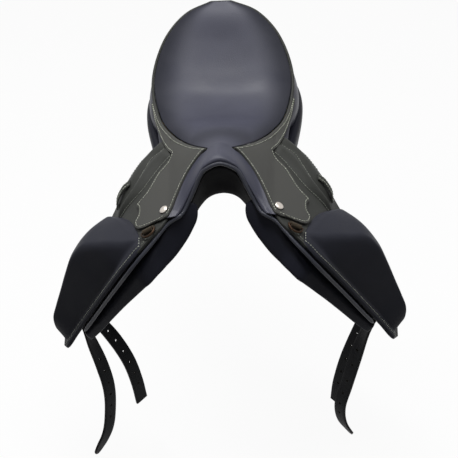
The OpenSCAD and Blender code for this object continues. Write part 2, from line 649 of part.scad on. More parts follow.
module catch_pin(side) {
    color("#c9c0b8") on_side(side) at_slope(bar_s, bar_y, 0) translate([-bar_w / 2, pin_y, pin_z])
        rotate([0, 90, 0]) cylinder(d = pin_d, h = bar_w, $fn = 32);
}

// Catch that closes the rear of the slot and turns out of the way about its pin
catch_l = 12;

module bar_catch(side) {
    eye_d = bar_t - turn_gap;
    color("#9a9da1") on_side(side) at_slope(bar_s, bar_y, 0) translate([0, pin_y, pin_z]) difference() {
        union() {
            translate([-catch_t / 2, 0, 0]) rotate([0, 90, 0]) cylinder(d = eye_d, h = catch_t, $fn = 32);
            translate([-catch_t / 2, -eye_d / 2, -catch_l]) cube([catch_t, eye_d, catch_l]);
        }
        translate([-catch_t / 2 - cut_over, 0, 0]) rotate([0, 90, 0])
            cylinder(d = pin_d + turn_gap, h = catch_t + 2 * cut_over, $fn = 32);
    }
}

module tree_rivets() {
    head_d = 9;
    head_h = 2;
    head_z = bar_plate_out + rivet_gap / 2;
    color("#8d9196") for (side = ["left", "right"]) on_side(side) at_slope(bar_s, bar_y, 0) for (y = rivet_ys)
        translate([0, y, 0]) rotate_extrude($fn = 32)
            polygon([[0, bar_plate_in], [rivet_d / 2, bar_plate_in], [rivet_d / 2, head_z],
                [head_d / 2, head_z], [head_d / 4, head_z + head_h], [0, head_z + head_h]]);
}

// Girth straps: a web from the tree, the strap under the flap and the free tail with its buckle holes
front_strap_y = -186;
rear_strap_y = -146;
web_margin = 10;
// Share of the width at a tail's tip and of the thickness at its hinge, and its clearance there
tail_tip = 0.5;
tail_root = 0.4;
tail_gap = tail_root * strap_t / 2 + seat_gap;

module girth_web(side) {
    ends = [front_strap_y - strap_w / 2 - web_margin, rear_strap_y + strap_w / 2 + web_margin];
    function grid(d) = [for (t = steps(3)) [for (y = ends) on_slope(mix(layer_top_s, web_end_s, t), y, d)]];
    color("#b9ad8e") on_side(side) sheet(grid(strap_out), grid(strap_in));
}

module strap(side, y) {
    function grid(d) = [for (t = steps(10)) let(s = mix(web_end_s + seat_gap, strap_hinge_s - tail_gap, t))
        [for (w = [-0.5, 0.5]) on_slope(s, y + w * strap_w, d)]];
    color("#141519") on_side(side) sheet(grid(strap_out), grid(strap_in));
}

// Each strap's free end as steps out, aft and up from its hinge
front_tail_left = [[0, 0, 0], [-17, 0, -40], [-31, 0, -90], [-46, 0, -160], [-56, 0, -210], [-52, 0, -250],
    [-34, 0, -284]];
rear_tail_left = [[0, 0, 0], [-16, 0, -40], [-30, 0, -80], [-48, 0, -140], [-60, 0, -200], [-64, 0, -246]];
front_tail_right = [[0, 0, 0], [-8, 0, -40], [-20, 0, -95], [-26, 0, -150], [-22, 0, -205], [-12, -8, -254],
    [12, -24, -296]];
rear_tail_right = [[0, 0, 0], [-24, 0, -40], [-46, 0, -80], [-64, 0, -130], [-73, 0, -180], [-77, 0, -228]];
// Turn of a tail's flat, the share of its length in which it turns, and the share where its holes start
tail_turn = 40;
tail_turn_end = 0.4;
first_hole = 0.3;

module strap_tail(side, y, route) {
    n = 14;
    start = on_slope(strap_hinge_s, y, (strap_out + strap_in) / 2);
    line = [for (t = steps(n)) start + along(route, t)];
    function flat_way(t) = let(a = tail_turn * ease(t / tail_turn_end)) [-sin(a), cos(a), 0];
    function tail_frame(i) =
        let(h = heading(line, i), f = unit(cross(h, flat_way(i / n)))) [unit(cross(f, h)), f];
    length = norm(line[n] - line[0]);
    color("#141519") on_side(side) difference() {
        loft([for (i = [0:n])
            let(b = tail_frame(i), wide = (i == n ? tail_tip : 1) * strap_w / 2,
                thick = (i == 0 ? tail_root : 1) * strap_t / 2)
            [for (c = [[-1, -1], [1, -1], [1, 1], [-1, 1]])
                line[i] + b[0] * c[0] * wide + b[1] * c[1] * thick]]);
        for (k = [0:hole_count - 1]) {
            t = first_hole + k * hole_pitch / length;
            i = round(t * n);
            f = tail_frame(min(n - 1, i))[1];
            translate(start + along(route, t)) rotate([0, acos(f[2]), atan2(f[1], f[0])])
                cylinder(d = hole_d, h = 4 * strap_t, center = true, $fn = 32);
        }
    }
}

// Breastplate dee on a leather chape, in front of the skirt
dee_s = 30;
dee_y = -226;
chape_t = 2.5;
chape_w = 16;
chape_l = 10;
chape_eye_d = dee_wire + 2 * seat_gap;
dee_axis_d = chape_eye_d / 2 + chape_t;

module dee_chape(side) {
    color("#24252a") on_side(side) at_slope(dee_s, dee_y, seat_gap) difference() {
        union() {
            translate([-chape_w / 2, 0, 0]) cube([chape_w, chape_l, chape_t]);
            translate([-chape_w / 2, 0, dee_axis_d]) rotate([0, 90, 0])
                cylinder(d = chape_eye_d + 2 * chape_t, h = chape_w, $fn = 32);
        }
        translate([-chape_w / 2 - cut_over, 0, dee_axis_d]) rotate([0, 90, 0])
            cylinder(d = chape_eye_d, h = chape_w + 2 * cut_over, $fn = 32);
    }
}

module breastplate_dee(side) {
    half = dee_w / 2 + dee_wire / 2;
    color("#b08a62") on_side(side) at_slope(dee_s, dee_y, seat_gap) translate([0, 0, dee_axis_d]) {
        translate([-half, 0, 0]) rotate([0, 90, 0]) cylinder(d = dee_wire, h = 2 * half, $fn = 32);
        rotate([0, 0, 180]) rotate_extrude(angle = 180, $fn = 64) translate([half, 0])
            circle(d = dee_wire, $fn = 32);
        for (x = [-half, half]) translate([x, 0, 0]) sphere(d = dee_wire, $fn = 32);
    }
}

tree();
head_plate();
tree_rivets();
seat_webbing();
seat_foam();
seat_cover();
seat_welt();
cantle_facing();
pommel_facing();
gullet_lining();
front_piping();
for (side = ["left", "right"]) {
    panel_cushion(side);
    panel_leg(side);
    sweat_flap(side);
    flap_top(side);
    skirt_top(side);
    skirt_stud(side);
    stirrup_bar(side);
    catch_pin(side);
    girth_web(side);
    strap(side, front_strap_y);
    strap(side, rear_strap_y);
    dee_chape(side);
    flap(side);
    knee_block_cover(side);
    knee_block_core(side);
    leather_keeper(side);
    skirt_lower(side);
    bar_catch(side);
    breastplate_dee(side);
}
strap_tail("left", front_strap_y, front_tail_left);  // left_front_strap_tail
strap_tail("right", front_strap_y, front_tail_right);  // right_front_strap_tail
strap_tail("left", rear_strap_y, rear_tail_left);  // left_rear_strap_tail
strap_tail("right", rear_strap_y, rear_tail_right);  // right_rear_strap_tail
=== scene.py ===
# %% [markdown]
# # A dressage saddle in black leather
# The saddle is a wooden tree dressed in leather: a padded seat, two skirts, two flaps with knee blocks,
# two flocked panels and four girth straps. The imported model already fixes every size and every hinge.
# This lesson loads it as a frame and dresses it.

# %% Load the frame
import math

import bpy
import numpy as np
from mathutils import Matrix, Vector


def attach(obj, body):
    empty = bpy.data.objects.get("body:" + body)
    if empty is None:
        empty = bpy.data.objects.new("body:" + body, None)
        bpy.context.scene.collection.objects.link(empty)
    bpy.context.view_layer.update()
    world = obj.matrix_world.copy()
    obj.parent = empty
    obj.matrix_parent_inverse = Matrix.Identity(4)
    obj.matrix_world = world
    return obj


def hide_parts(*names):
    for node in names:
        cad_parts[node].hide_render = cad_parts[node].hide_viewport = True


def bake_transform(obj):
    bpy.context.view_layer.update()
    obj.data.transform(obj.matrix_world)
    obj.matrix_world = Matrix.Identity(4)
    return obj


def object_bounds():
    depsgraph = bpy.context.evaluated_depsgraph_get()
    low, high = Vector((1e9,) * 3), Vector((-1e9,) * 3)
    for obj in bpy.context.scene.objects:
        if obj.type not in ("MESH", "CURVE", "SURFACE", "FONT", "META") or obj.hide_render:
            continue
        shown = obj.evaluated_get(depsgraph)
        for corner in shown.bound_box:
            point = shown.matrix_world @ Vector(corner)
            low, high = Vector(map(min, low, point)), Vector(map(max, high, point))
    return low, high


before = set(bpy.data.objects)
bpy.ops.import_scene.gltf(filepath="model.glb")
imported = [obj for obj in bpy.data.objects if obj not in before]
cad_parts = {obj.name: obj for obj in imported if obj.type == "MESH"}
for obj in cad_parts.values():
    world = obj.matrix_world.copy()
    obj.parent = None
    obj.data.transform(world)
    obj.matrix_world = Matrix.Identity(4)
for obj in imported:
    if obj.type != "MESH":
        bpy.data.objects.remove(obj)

cad_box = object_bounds()
scene = bpy.context.scene
MM = 0.001
SIDES = {"left": 1.0, "right": -1.0}

# %% [markdown]
# The camera stands in front of the saddle and above it. Elevation, turn and roll are kept as angles, because
# they say more to a reader than a matrix does. The focal length is given in pixels of a square picture.

# %% Camera
PICTURE = 458
FOCAL_PIXELS = 947.6
CAMERA_RISE = math.radians(35.79)
CAMERA_TURN = math.radians(2.67)
CAMERA_ROLL = math.radians(3.40)
CAMERA_DISTANCE = 1.5649
CAMERA_TARGET = Vector((0.0056, -0.110, -0.0748))

look = Vector((-math.cos(CAMERA_RISE) * math.sin(CAMERA_TURN),
               math.cos(CAMERA_RISE) * math.cos(CAMERA_TURN), -math.sin(CAMERA_RISE)))
level = Vector((math.cos(CAMERA_TURN), math.sin(CAMERA_TURN), 0))
upright = level.cross(look)
right = level * math.cos(CAMERA_ROLL) - upright * math.sin(CAMERA_ROLL)
up = upright * math.cos(CAMERA_ROLL) + level * math.sin(CAMERA_ROLL)

camera_data = bpy.data.cameras.new("camera")
camera_data.sensor_width = 36
camera_data.lens = FOCAL_PIXELS / PICTURE * camera_data.sensor_width
camera = bpy.data.objects.new("camera", camera_data)
scene.collection.objects.link(camera)
turned = Matrix((right, up, -look)).transposed().to_4x4()
camera.matrix_world = Matrix.Translation(CAMERA_TARGET - look * CAMERA_DISTANCE) @ turned
scene.camera = camera
scene.view_settings.view_transform = "Standard"
print("lens:", round(camera_data.lens, 2), "mm")

# %% [markdown]
# Leather follows smooth lines. A few knots are enough for a line if a cubic curve runs through them, so all
# outlines below are short lists of knots in millimetres. The functions take whole arrays at once, which keeps
# a mesh of ten thousand points quick to lay out.

# %% Curves
def mix(a, b, t):
    return a + (b - a) * t


def ease(t):
    c = np.clip(t, 0, 1)
    return c * c * (3 - 2 * c)


def curve(knots, t):
    """Smooth curve through knots of (place, value), where a value is a number or a point."""
    places = np.array([k[0] for k in knots], float)
    values = np.array([k[1] for k in knots], float)
    last = len(places) - 1
    before = np.maximum(np.arange(last + 1) - 1, 0)
    after = np.minimum(np.arange(last + 1) + 1, last)
    grades = ((values[after] - values[before]).T / (places[after] - places[before])).T
    t = np.clip(np.asarray(t, float), places[0], places[-1])
    i = np.clip(np.searchsorted(places, t, side="right") - 1, 0, last - 1)
    h = places[i + 1] - places[i]
    u = (t - places[i]) / h
    if values.ndim == 2:
        u = u[..., None]
        h = h[..., None]
    return (values[i] * (2 * u**3 - 3 * u**2 + 1) + grades[i] * h * (u**3 - 2 * u**2 + u)
            + values[i + 1] * (3 * u**2 - 2 * u**3) + grades[i + 1] * h * (u**3 - u**2))


def along(line, t):
    """Smooth curve through the points of a line, spaced evenly from t = 0 to t = 1."""
    last = len(line) - 1
    return curve([(i / last, p) for i, p in enumerate(line)], t)


def between(first, last, t, share):
    """Place at a share of the way from one curve to another."""
    return mix(curve(first, t), curve(last, t), share)


def unit(vectors):
    return vectors / np.linalg.norm(vectors, axis=-1, keepdims=True)


def points(x, y, z):
    """Array of points from three arrays of coordinates."""
    return np.stack(np.broadcast_arrays(x, y, z), axis=-1).astype(float)


def on_side(places, side):
    """Places of the left side, mirrored for the right side."""
    return places * (SIDES[side], 1, 1)


def run_of(line):
    """Way along a line at each of its points."""
    return np.concatenate([[0], np.cumsum(np.linalg.norm(np.diff(line, axis=0), axis=1))])


def at_run(line, run, at):
    """Places on a line by the way along it."""
    return np.stack([np.interp(at, run, line[:, k]) for k in range(3)], axis=-1)


# %% [markdown]
# Flaps, skirts, straps and panels all lie on one slope that falls away from the tree: a flat part, a bend and
# a steeper part. A place on it is given by s, the way down it, y, the way aft, and d, the height over it.

# %% The slope
SLOPE_X = 84
SLOPE_Z = 24
TOP_SLOPE = math.radians(30)
HANG_SLOPE = math.radians(60)
FLAT_LEN = 35
BEND_R = 130
BEND_LEN = BEND_R * (HANG_SLOPE - TOP_SLOPE)
FLARE = 0.11
FLARE_Y = -200


def slope_angle(s):
    return TOP_SLOPE + (HANG_SLOPE - TOP_SLOPE) * np.clip((s - FLAT_LEN) / BEND_LEN, 0, 1)


def on_slope(s, y, d):
    s, y, d = np.broadcast_arrays(np.asarray(s, float), y, d)
    a = slope_angle(s)
    before = np.minimum(s, FLAT_LEN)
    after = np.maximum(0, s - FLAT_LEN - BEND_LEN)
    x = (SLOPE_X + before * math.cos(TOP_SLOPE) + BEND_R * (np.sin(a) - math.sin(TOP_SLOPE))
         + after * math.cos(HANG_SLOPE))
    z = (SLOPE_Z - before * math.sin(TOP_SLOPE) + BEND_R * (np.cos(a) - math.cos(TOP_SLOPE))
         - after * math.sin(HANG_SLOPE))
    out = d + FLARE * (y - FLARE_Y)
    return points(x + out * np.sin(a), y, z + out * np.cos(a))


def slope_place(side, s, y, d):
    """One place on the slope of one side, in metres."""
    return Vector(on_side(on_slope(s, y, d) * MM, side))


# %% [markdown]
# Every sheet of leather starts as a grid primitive, whose points are carried to their place on the saddle.
# A hand modeller would do the same with a lattice or by pulling vertices; a rule gives cleaner edges. A ball
# primitive is the start of what is stuffed, because it is closed from the first moment.

# %% Shapes to start from
UPWARDS = (0, 0, 1)


def only(piece):
    """Selects one piece and makes it the active one."""
    bpy.ops.object.select_all(action="DESELECT")
    piece.select_set(True)
    bpy.context.view_layer.objects.active = piece


def carry(piece, places):
    """Moves the points of a mesh to places in millimetres."""
    piece.data.vertices.foreach_set("co", (np.asarray(places, float) * MM).ravel())
    piece.data.update()


def read_points(piece):
    found = np.empty(len(piece.data.vertices) * 3)
    piece.data.vertices.foreach_get("co", found)
    return found.reshape(-1, 3)


def primitive(name, add_shape, **settings):
    """Adds a primitive shape with nothing else selected."""
    bpy.ops.object.select_all(action="DESELECT")
    add_shape(**settings)
    piece = bpy.context.object
    piece.name = name
    return piece


def new_grid(name, columns, rows, place, side="left"):
    """Grid whose u (across) and v (down) from 0 to 1 go to place(u, v), mirrored for the right side."""
    piece = primitive(name, bpy.ops.mesh.primitive_grid_add, x_subdivisions=columns, y_subdivisions=rows,
                      size=1)
    start = read_points(piece)
    carry(piece, on_side(place(start[:, 0] + 0.5, start[:, 1] + 0.5), side))
    return piece


def new_ball(name, around, rows, place, side="left"):
    """Ball whose turn (in radians) and v (0 to 1, pole to pole) go to place(turn, v)."""
    piece = primitive(name, bpy.ops.mesh.primitive_uv_sphere_add, segments=around, ring_count=rows, radius=1)
    start = read_points(piece)
    turn = np.arctan2(start[:, 1], start[:, 0])
    v = np.arccos(np.clip(start[:, 2], -1, 1)) / math.pi
    carry(piece, on_side(place(turn, v), side))
    outwards(piece)
    return piece


# %% [markdown]
# What follows the start is the same for most pieces: points are welded, faces turned to look out, a thickness
# is given and the edges are rounded by one level of subdivision.

# %% Steps of modelling
def edit(piece, step, **settings):
    """Runs an edit mode operator on the whole of a piece."""
    only(piece)
    bpy.ops.object.mode_set(mode="EDIT")
    bpy.ops.mesh.select_all(action="SELECT")
    step(**settings)
    bpy.ops.object.mode_set(mode="OBJECT")


def weld(piece, reach=0.05):
    edit(piece, bpy.ops.mesh.remove_doubles, threshold=reach * MM)


def outwards(piece):
    edit(piece, bpy.ops.mesh.normals_make_consistent, inside=False)


def face(piece, way):
    """Turns a sheet over if its faces look against way, a direction or a rule for one at each place."""
    mesh = piece.data
    normals = np.array([p.normal for p in mesh.polygons])
    centres = np.array([p.center for p in mesh.polygons])
    wanted = way(centres) if callable(way) else np.array(way)
    if (normals * wanted).sum() < 0:
        edit(piece, bpy.ops.mesh.flip_normals)


def join(name, pieces):
    only(pieces[0])
    for piece in pieces:
        piece.select_set(True)
    bpy.ops.object.join()
    joined = bpy.context.object
    joined.name = name
    return joined


def shape_with(piece, kind, **settings):
    """Adds a modifier and applies it."""
    only(piece)
    modifier = piece.modifiers.new(kind.title(), kind)
    for key, value in settings.items():
        setattr(modifier, key, value)
    bpy.ops.object.modifier_apply(modifier=modifier.name)


def smooth(piece, sharpest=180):
    """Shades a piece smooth, but for edges sharper than an angle in degrees."""
    only(piece)
    if sharpest < 180:
        bpy.ops.object.shade_smooth_by_angle(angle=math.radians(sharpest))
    else:
        bpy.ops.object.shade_smooth()


def bevel(piece, width, segments, angle):
    """Rounds edges that are sharper than an angle in degrees."""
    shape_with(piece, "BEVEL", width=width * MM, segments=segments, limit_method="ANGLE",
               angle_limit=math.radians(angle))


def soften(piece):
    shape_with(piece, "SUBSURF", levels=1, render_levels=1)
    smooth(piece)


def thicken(piece, thickness):
    """Gives a sheet its thickness below its outer face and rounds its cut edges."""
    shape_with(piece, "SOLIDIFY", thickness=thickness * MM, offset=-1)
    soften(piece)


def cut_sheet(name, columns, rows, place, thickness, way, side="left"):
    """Sheet whose outer face follows place and looks along way."""
    sheet = new_grid(name, columns, rows, place, side)
    face(sheet, way)
    thicken(sheet, thickness)
    return sheet


# %% [markdown]
# A finished piece is dressed: it gets its leather, and the imported solids that it stands for are hidden.

# %% Dressing
def triangles(piece):
    return sum(len(p.vertices) - 2 for p in piece.data.polygons)


def dress(piece, material, slot, *nodes):
    """Gives a piece its material and hides the imported nodes that it stands for. The slot is not used."""
    piece.data.materials.clear()
    piece.data.materials.append(material)
    if nodes:
        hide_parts(*nodes)
    print(piece.name, triangles(piece), "triangles")


def dress_fixed(piece, material, slot, *nodes):
    """Dresses a piece that stays with the tree."""
    dress(piece, material, slot, *nodes)
    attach(piece, "saddle")


# %% [markdown]
# Materials are built from nodes. Colours are written as they look on a screen, in sRGB hex, and one function
# turns them to the linear values that a shader needs. Patterns use Object coordinates in metres, so a scale
# is one over the size of a grain.

# %% Material helpers
WAVE_RADIANS = 20


def linear(colour):
    channels = [int(colour[i:i + 2], 16) / 255 for i in (1, 3, 5)]
    return [c / 12.92 if c <= 0.04045 else ((c + 0.055) / 1.055) ** 2.4 for c in channels] + [1]


def add(tree, kind, inputs=(), **settings):
    """Adds a node with its settings; an input is a value or the output of another node."""
    node = tree.nodes.new("ShaderNode" + kind)
    for key, value in settings.items():
        setattr(node, key, value)
    for name, value in dict(inputs).items():
        if isinstance(value, bpy.types.NodeSocket):
            tree.links.new(value, node.inputs[name])
        else:
            node.inputs[name].default_value = value
    return node


def new_material(name):
    """New material and its empty node tree."""
    material = bpy.data.materials.new(name)
    material.use_nodes = True
    material.node_tree.nodes.clear()
    return material, material.node_tree


def surface(name):
    """New material, its node tree and the place on the piece in metres."""
    material, tree = new_material(name)
    return material, tree, add(tree, "TexCoord").outputs["Object"]


def tint(tree, share, first, second):
    """Colour between a first one, in hex or from a node, and a second one in hex."""
    if isinstance(first, str):
        first = linear(first)
    mixed = add(tree, "MixRGB", {"Fac": share, "Color1": first, "Color2": linear(second)})
    return mixed.outputs["Color"]


def combine(tree, operation, *values):
    """Sum, product or the like of values and node outputs."""
    return add(tree, "Math", dict(enumerate(values)), operation=operation).outputs["Value"]


def noise(tree, place, size, detail):
    """Soft noise with blots of a size in millimetres."""
    return add(tree, "TexNoise", {"Vector": place, "Scale": per_mm(size), "Detail": detail}).outputs["Fac"]


def wave(tree, place, size, distortion=0, direction="X"):
    """Bands that turn by one radian over a size in millimetres."""
    bands = add(tree, "TexWave", {"Vector": place, "Scale": per_mm(size) / WAVE_RADIANS,
                                  "Distortion": distortion}, bands_direction=direction)
    return bands.outputs["Fac"]


def relief(tree, height, depth, strength):
    """Bump of a depth in millimetres."""
    bump = add(tree, "Bump", {"Height": height, "Distance": depth * MM, "Strength": strength})
    return bump.outputs["Normal"]


def finish_material(material, inputs):
    """Ends a material in one shader with these inputs."""
    tree = material.node_tree
    shader = add(tree, "BsdfPrincipled", inputs)
    add(tree, "OutputMaterial", {"Surface": shader.outputs["BSDF"]})
    return material


def per_mm(size):
    """Texture scale for a pattern of this size in millimetres."""
    return 1 / (size * MM)


# %% [markdown]
# Drum-dyed leather is black through and through, with soft clouds where it took the dye and a grain of small
# pebbles. Smooth calf has a fine, shallow grain and a silky shine; the skirts are of a matte, waxed hide that
# looks olive beside it. Real pebbles are half a millimetre wide and wouldn't show, so they are drawn coarser.
# Where a mesh carries an attribute of painted shade, the leather is painted darker and made more matte there.

# %% Leathers
CLOUD_MM = 45
PORE_MM = 1.6
PEBBLE_EDGE = 0.3
GRAIN_STRENGTH = 0.5
RUBBED_FROM = 0.53
RUBBED_FULL = 0.62
# Colour and added roughness of the painted shade, where a mesh's shade attribute is 1
PAINTED_SHADE_COLOUR = "#24252d"
PAINTED_SHADE_MATTE = 0.4


def leather(name, dark, light, worn, roughness, grain, depth, wear, shine):
    material, tree, place = surface(name)
    clouds = noise(tree, place, CLOUD_MM, 4)
    edges = add(tree, "NewGeometry").outputs["Pointiness"]
    rubbed = add(tree, "MapRange", {"Value": edges, "From Min": RUBBED_FROM, "From Max": RUBBED_FULL,
                                    "To Max": wear})
    handled = tint(tree, rubbed.outputs["Result"], tint(tree, clouds, dark, light), worn)
    # Painted shade from a mesh attribute darkens the colour and roughens the shine
    painted_shade = add(tree, "Attribute", attribute_name="painted_shade").outputs["Fac"]
    pebbles = add(tree, "TexVoronoi", {"Vector": place, "Scale": per_mm(grain)}, feature="DISTANCE_TO_EDGE")
    crown = add(tree, "MapRange", {"Value": pebbles.outputs["Distance"], "From Max": PEBBLE_EDGE},
                interpolation_type="SMOOTHSTEP")
    height = combine(tree, "ADD", crown.outputs["Result"], noise(tree, place, PORE_MM, 2))
    gloss = add(tree, "MapRange", {"Value": clouds, "From Min": 0.3, "From Max": 0.7,
                                   "To Min": roughness - 0.05, "To Max": roughness + 0.06})
    matte = combine(tree, "MULTIPLY_ADD", painted_shade, PAINTED_SHADE_MATTE, gloss.outputs["Result"])
    return finish_material(material, {
        "Base Color": tint(tree, painted_shade, handled, PAINTED_SHADE_COLOUR), "Roughness": matte, "IOR": 1.5,
        "Specular IOR Level": shine, "Normal": relief(tree, height, depth, GRAIN_STRENGTH),
        "Sheen Weight": 0.02, "Sheen Roughness": 0.5})


seat_calf = leather("smooth_calf_seat", "#3a3b47", "#444552", "#5a5b66", 0.42, 2.4, 0.10, 0.3, 0.24)
skirt_hide = leather("waxed_hide_skirt", "#454543", "#4f4f4c", "#6a6a63", 0.60, 2.0, 0.16, 0.5, 0.12)
flap_hide = leather("waxed_hide_flap", "#323331", "#3c3d3a", "#54544e", 0.56, 2.0, 0.16, 0.5, 0.12)
piping_calf = leather("smooth_calf_piping", "#272932", "#2f313b", "#484a54", 0.36, 2.4, 0.08, 0.3, 0.25)
block_calf = leather("smooth_calf_block", "#2a2b32", "#33343c", "#4a4b54", 0.46, 2.4, 0.12, 0.3, 0.05)
panel_calf = leather("soft_calf_panel", "#191a21", "#20212a", "#31323d", 0.40, 2.2, 0.14, 0.3, 0.06)
strap_hide = leather("bridle_hide_strap", "#0b0c0f", "#121318", "#4b4236", 0.46, 1.8, 0.10, 0.8, 0.06)
lining_hide = leather("split_hide_lining", "#040405", "#070709", "#101012", 0.75, 1.8, 0.14, 0.2, 0.05)
print("leathers:", 8)

# %% [markdown]
# The seams are sewn with waxed thread: cream with a touch of green on skirts, blocks and keepers, grey on
# flaps and gullet, black on the straps. A twisted thread has ridges across it, which a wave pattern gives.

# %% Thread
TWIST_MM = 1.2


def thread(name, colour, shade):
    material, tree, place = surface(name)
    twist = wave(tree, place, TWIST_MM, 2)
    return finish_material(material, {
        "Base Color": tint(tree, twist, shade, colour), "Roughness": 0.7,
        "Normal": relief(tree, twist, 0.2, 0.4), "Sheen Weight": 0.2})


cream_thread = thread("waxed_linen_thread", "#c4c7b8", "#969b8b")
grey_thread = thread("waxed_grey_thread", "#8b8f84", "#6c7068")
black_thread = thread("waxed_black_thread", "#1c1d22", "#101115")
print("threads: cream, grey and black")

# %% [markdown]
# The metal is forged steel on the stirrup bars and the head plate, brushed nickel on the studs and brass on
# the dees, painted nearly black as painted shade under the skirt corners. Brushing leaves fine lines, so the
# noise is stretched along one direction. The tree is laminated beech, and the seat hangs on woven webbing.

# %% Metal, wood and webbing
VENEER_MM = 2
WOOD_GRAIN_MM = 6
YARN_MM = 2


def metal(name, dark, light, roughness, grit, stretch):
    material, tree, place = surface(name)
    drawn = add(tree, "Mapping", {"Vector": place, "Scale": (1, stretch, 1)}).outputs["Vector"]
    lines = noise(tree, drawn, grit, 4)
    gloss = add(tree, "MapRange", {"Value": lines, "To Min": roughness - 0.1, "To Max": roughness + 0.1})
    return finish_material(material, {
        "Base Color": tint(tree, lines, dark, light), "Metallic": 1.0, "Roughness": gloss.outputs["Result"],
        "Normal": relief(tree, lines, 0.05, 0.4)})


brushed_nickel = metal("brushed_nickel_stud", "#b3aba3", "#d8d1c9", 0.34, 1.2, 0.15)
forged_steel = metal("forged_steel", "#7c7f83", "#9b9ea2", 0.45, 2.5, 1)
# The dees' brass is painted nearly black: painted shade where they sit under the skirt corners
brass_in_painted_shade = metal("brass_dee_in_painted_shade", "#2a2019", "#3a2d24", 0.45, 2.0, 1)


def laminated_beech():
    """Thin layers of veneer with the grain of the wood over them."""
    material, tree, place = surface("laminated_beech")
    layers = wave(tree, place, VENEER_MM, 1.5, "Z")
    mixed = combine(tree, "MULTIPLY", layers, noise(tree, place, WOOD_GRAIN_MM, 6))
    return finish_material(material, {
        "Base Color": tint(tree, mixed, "#a97f4c", "#d6b17c"), "Roughness": 0.55,
        "Normal": relief(tree, mixed, 0.1, 0.4)})


def woven_webbing():
    """Flax webbing, its warp and weft drawn coarse enough to show."""
    material, tree, place = surface("woven_flax_webbing")
    weave = combine(tree, "MULTIPLY", wave(tree, place, YARN_MM), wave(tree, place, YARN_MM, direction="Y"))
    return finish_material(material, {
        "Base Color": tint(tree, weave, "#8b7f63", "#c4b996"), "Roughness": 0.85,
        "Normal": relief(tree, weave, 0.4, 0.6), "Sheen Weight": 0.2})


beech = laminated_beech()
webbing = woven_webbing()
print("materials:", len(bpy.data.materials))

# %% [markdown]
# The studio is a wide pale floor just below the strap tips, a long soft lamp overhead, a weak one in front
# and an even sky. The floor glows for the camera and for reflections, which gives the white background, and
# what is left of its own diffuse part keeps the shadow.

# %% Studio
FLOOR_DROP = 0.012
FLOOR_SIZE = 14
FLOOR_PLACE = (0, 2, 0)
FLOOR_GLOW = 0.95
SKY_ON_OBJECT = 0.05


def seen_directly(tree):
    """1 where a ray comes from the camera, a mirror or glass."""
    path = add(tree, "LightPath").outputs
    both = combine(tree, "MAXIMUM", path["Is Camera Ray"], path["Is Glossy Ray"])
    return combine(tree, "MAXIMUM", both, path["Is Transmission Ray"])


def studio_floor():
    floor = primitive("studio_floor", bpy.ops.mesh.primitive_plane_add, size=FLOOR_SIZE, location=FLOOR_PLACE)
    bpy.ops.object.transform_apply(location=True)
    floor.data.transform(Matrix.Translation((0, 0, cad_box[0].z - FLOOR_DROP)))
    material, tree = new_material("matte_white_floor")
    seen = seen_directly(tree)
    paint = add(tree, "BsdfDiffuse", {"Color": tint(tree, seen, "#4c4c4c", "#ffffff")})
    glow = add(tree, "Emission", {"Color": linear("#ffffff"), "Strength": 1})
    mixed = add(tree, "MixShader", {"Fac": combine(tree, "MULTIPLY", seen, FLOOR_GLOW),
                                    1: paint.outputs["BSDF"], 2: glow.outputs["Emission"]})
    add(tree, "OutputMaterial", {"Surface": mixed.outputs["Shader"]})
    floor.data.materials.append(material)


def lamp(name, place, aim, width, length, power):
    data = bpy.data.lights.new(name, "AREA")
    data.shape = "RECTANGLE"
    data.size = width
    data.size_y = length
    data.energy = power
    light = bpy.data.objects.new(name, data)
    scene.collection.objects.link(light)
    light.location = place
    light.rotation_euler = (Vector(aim) - Vector(place)).to_track_quat("-Z", "Y").to_euler()


def studio_sky():
    sky = bpy.data.worlds.new("even_sky")
    scene.world = sky
    sky.use_nodes = True
    tree = sky.node_tree
    tree.nodes.clear()
    strength = add(tree, "MapRange", {"Value": seen_directly(tree), "To Min": SKY_ON_OBJECT, "To Max": 1.0})
    shade = add(tree, "Background", {"Color": linear("#ffffff"), "Strength": strength.outputs["Result"]})
    add(tree, "OutputWorld", {"Surface": shade.outputs["Background"]})


studio_floor()
studio_sky()
lamp("overhead_softbox", (-0.12, 0.1, 1.6), (0, 0, 0), 0.3, 2.0, 36)
lamp("front_softbox", (-0.3, -1.6, 1.5), (0, -0.1, 0), 0.6, 0.6, 1)
print("floor at", round(cad_box[0].z - FLOOR_DROP, 3))

# %% [markdown]
# A seam shows as a row of small, plump stitches. One stitch is modelled and then copied along a line, laid
# just proud of the leather. Saddle thread is under a millimetre thick; it is drawn a little thicker, as it
# would otherwise be lost in the picture.

# %% Stitches
STITCH_PITCH = 4.6
STITCH_LEN = 3.9
STITCH_W = 1.2
STITCH_UP = (0.1, 0.2, 1)


def one_stitch():
    ball = primitive("stitch", bpy.ops.mesh.primitive_uv_sphere_add, segments=6, ring_count=4, radius=0.5)
    shape = read_points(ball)[:, [2, 0, 1]] * (STITCH_LEN, STITCH_W, STITCH_W)
    faces = [list(p.vertices) for p in ball.data.polygons]
    bpy.data.objects.remove(ball)
    return shape, faces


STITCH, STITCH_FACES = one_stitch()


def stitch_row(name, lines, material, slot, side="left"):
    """Rows of stitches along lines of points in millimetres, as one mesh."""
    places = []
    for line in lines:
        line = on_side(np.asarray(line, float), side)
        run = run_of(line)
        count = max(1, int(run[-1] / STITCH_PITCH))
        for at in (np.arange(count) + 0.5) * run[-1] / count:
            ends = at_run(line, run, at + np.array([-1, 1]))
            ahead = unit(ends[1] - ends[0])
            aside = unit(np.cross(ahead, STITCH_UP))
            above = np.cross(aside, ahead)
            places.append((ends[0] + ends[1]) / 2 + STITCH @ np.array([ahead, aside, above]))
    size = len(STITCH)
    mesh = bpy.data.meshes.new(name)
    mesh.from_pydata((np.concatenate(places) * MM).tolist(), [],
                     [[v + i * size for v in f] for i in range(len(places)) for f in STITCH_FACES])
    row = bpy.data.objects.new(name, mesh)
    scene.collection.objects.link(row)
    outwards(row)
    smooth(row)
    dress(row, material, slot)
    return row


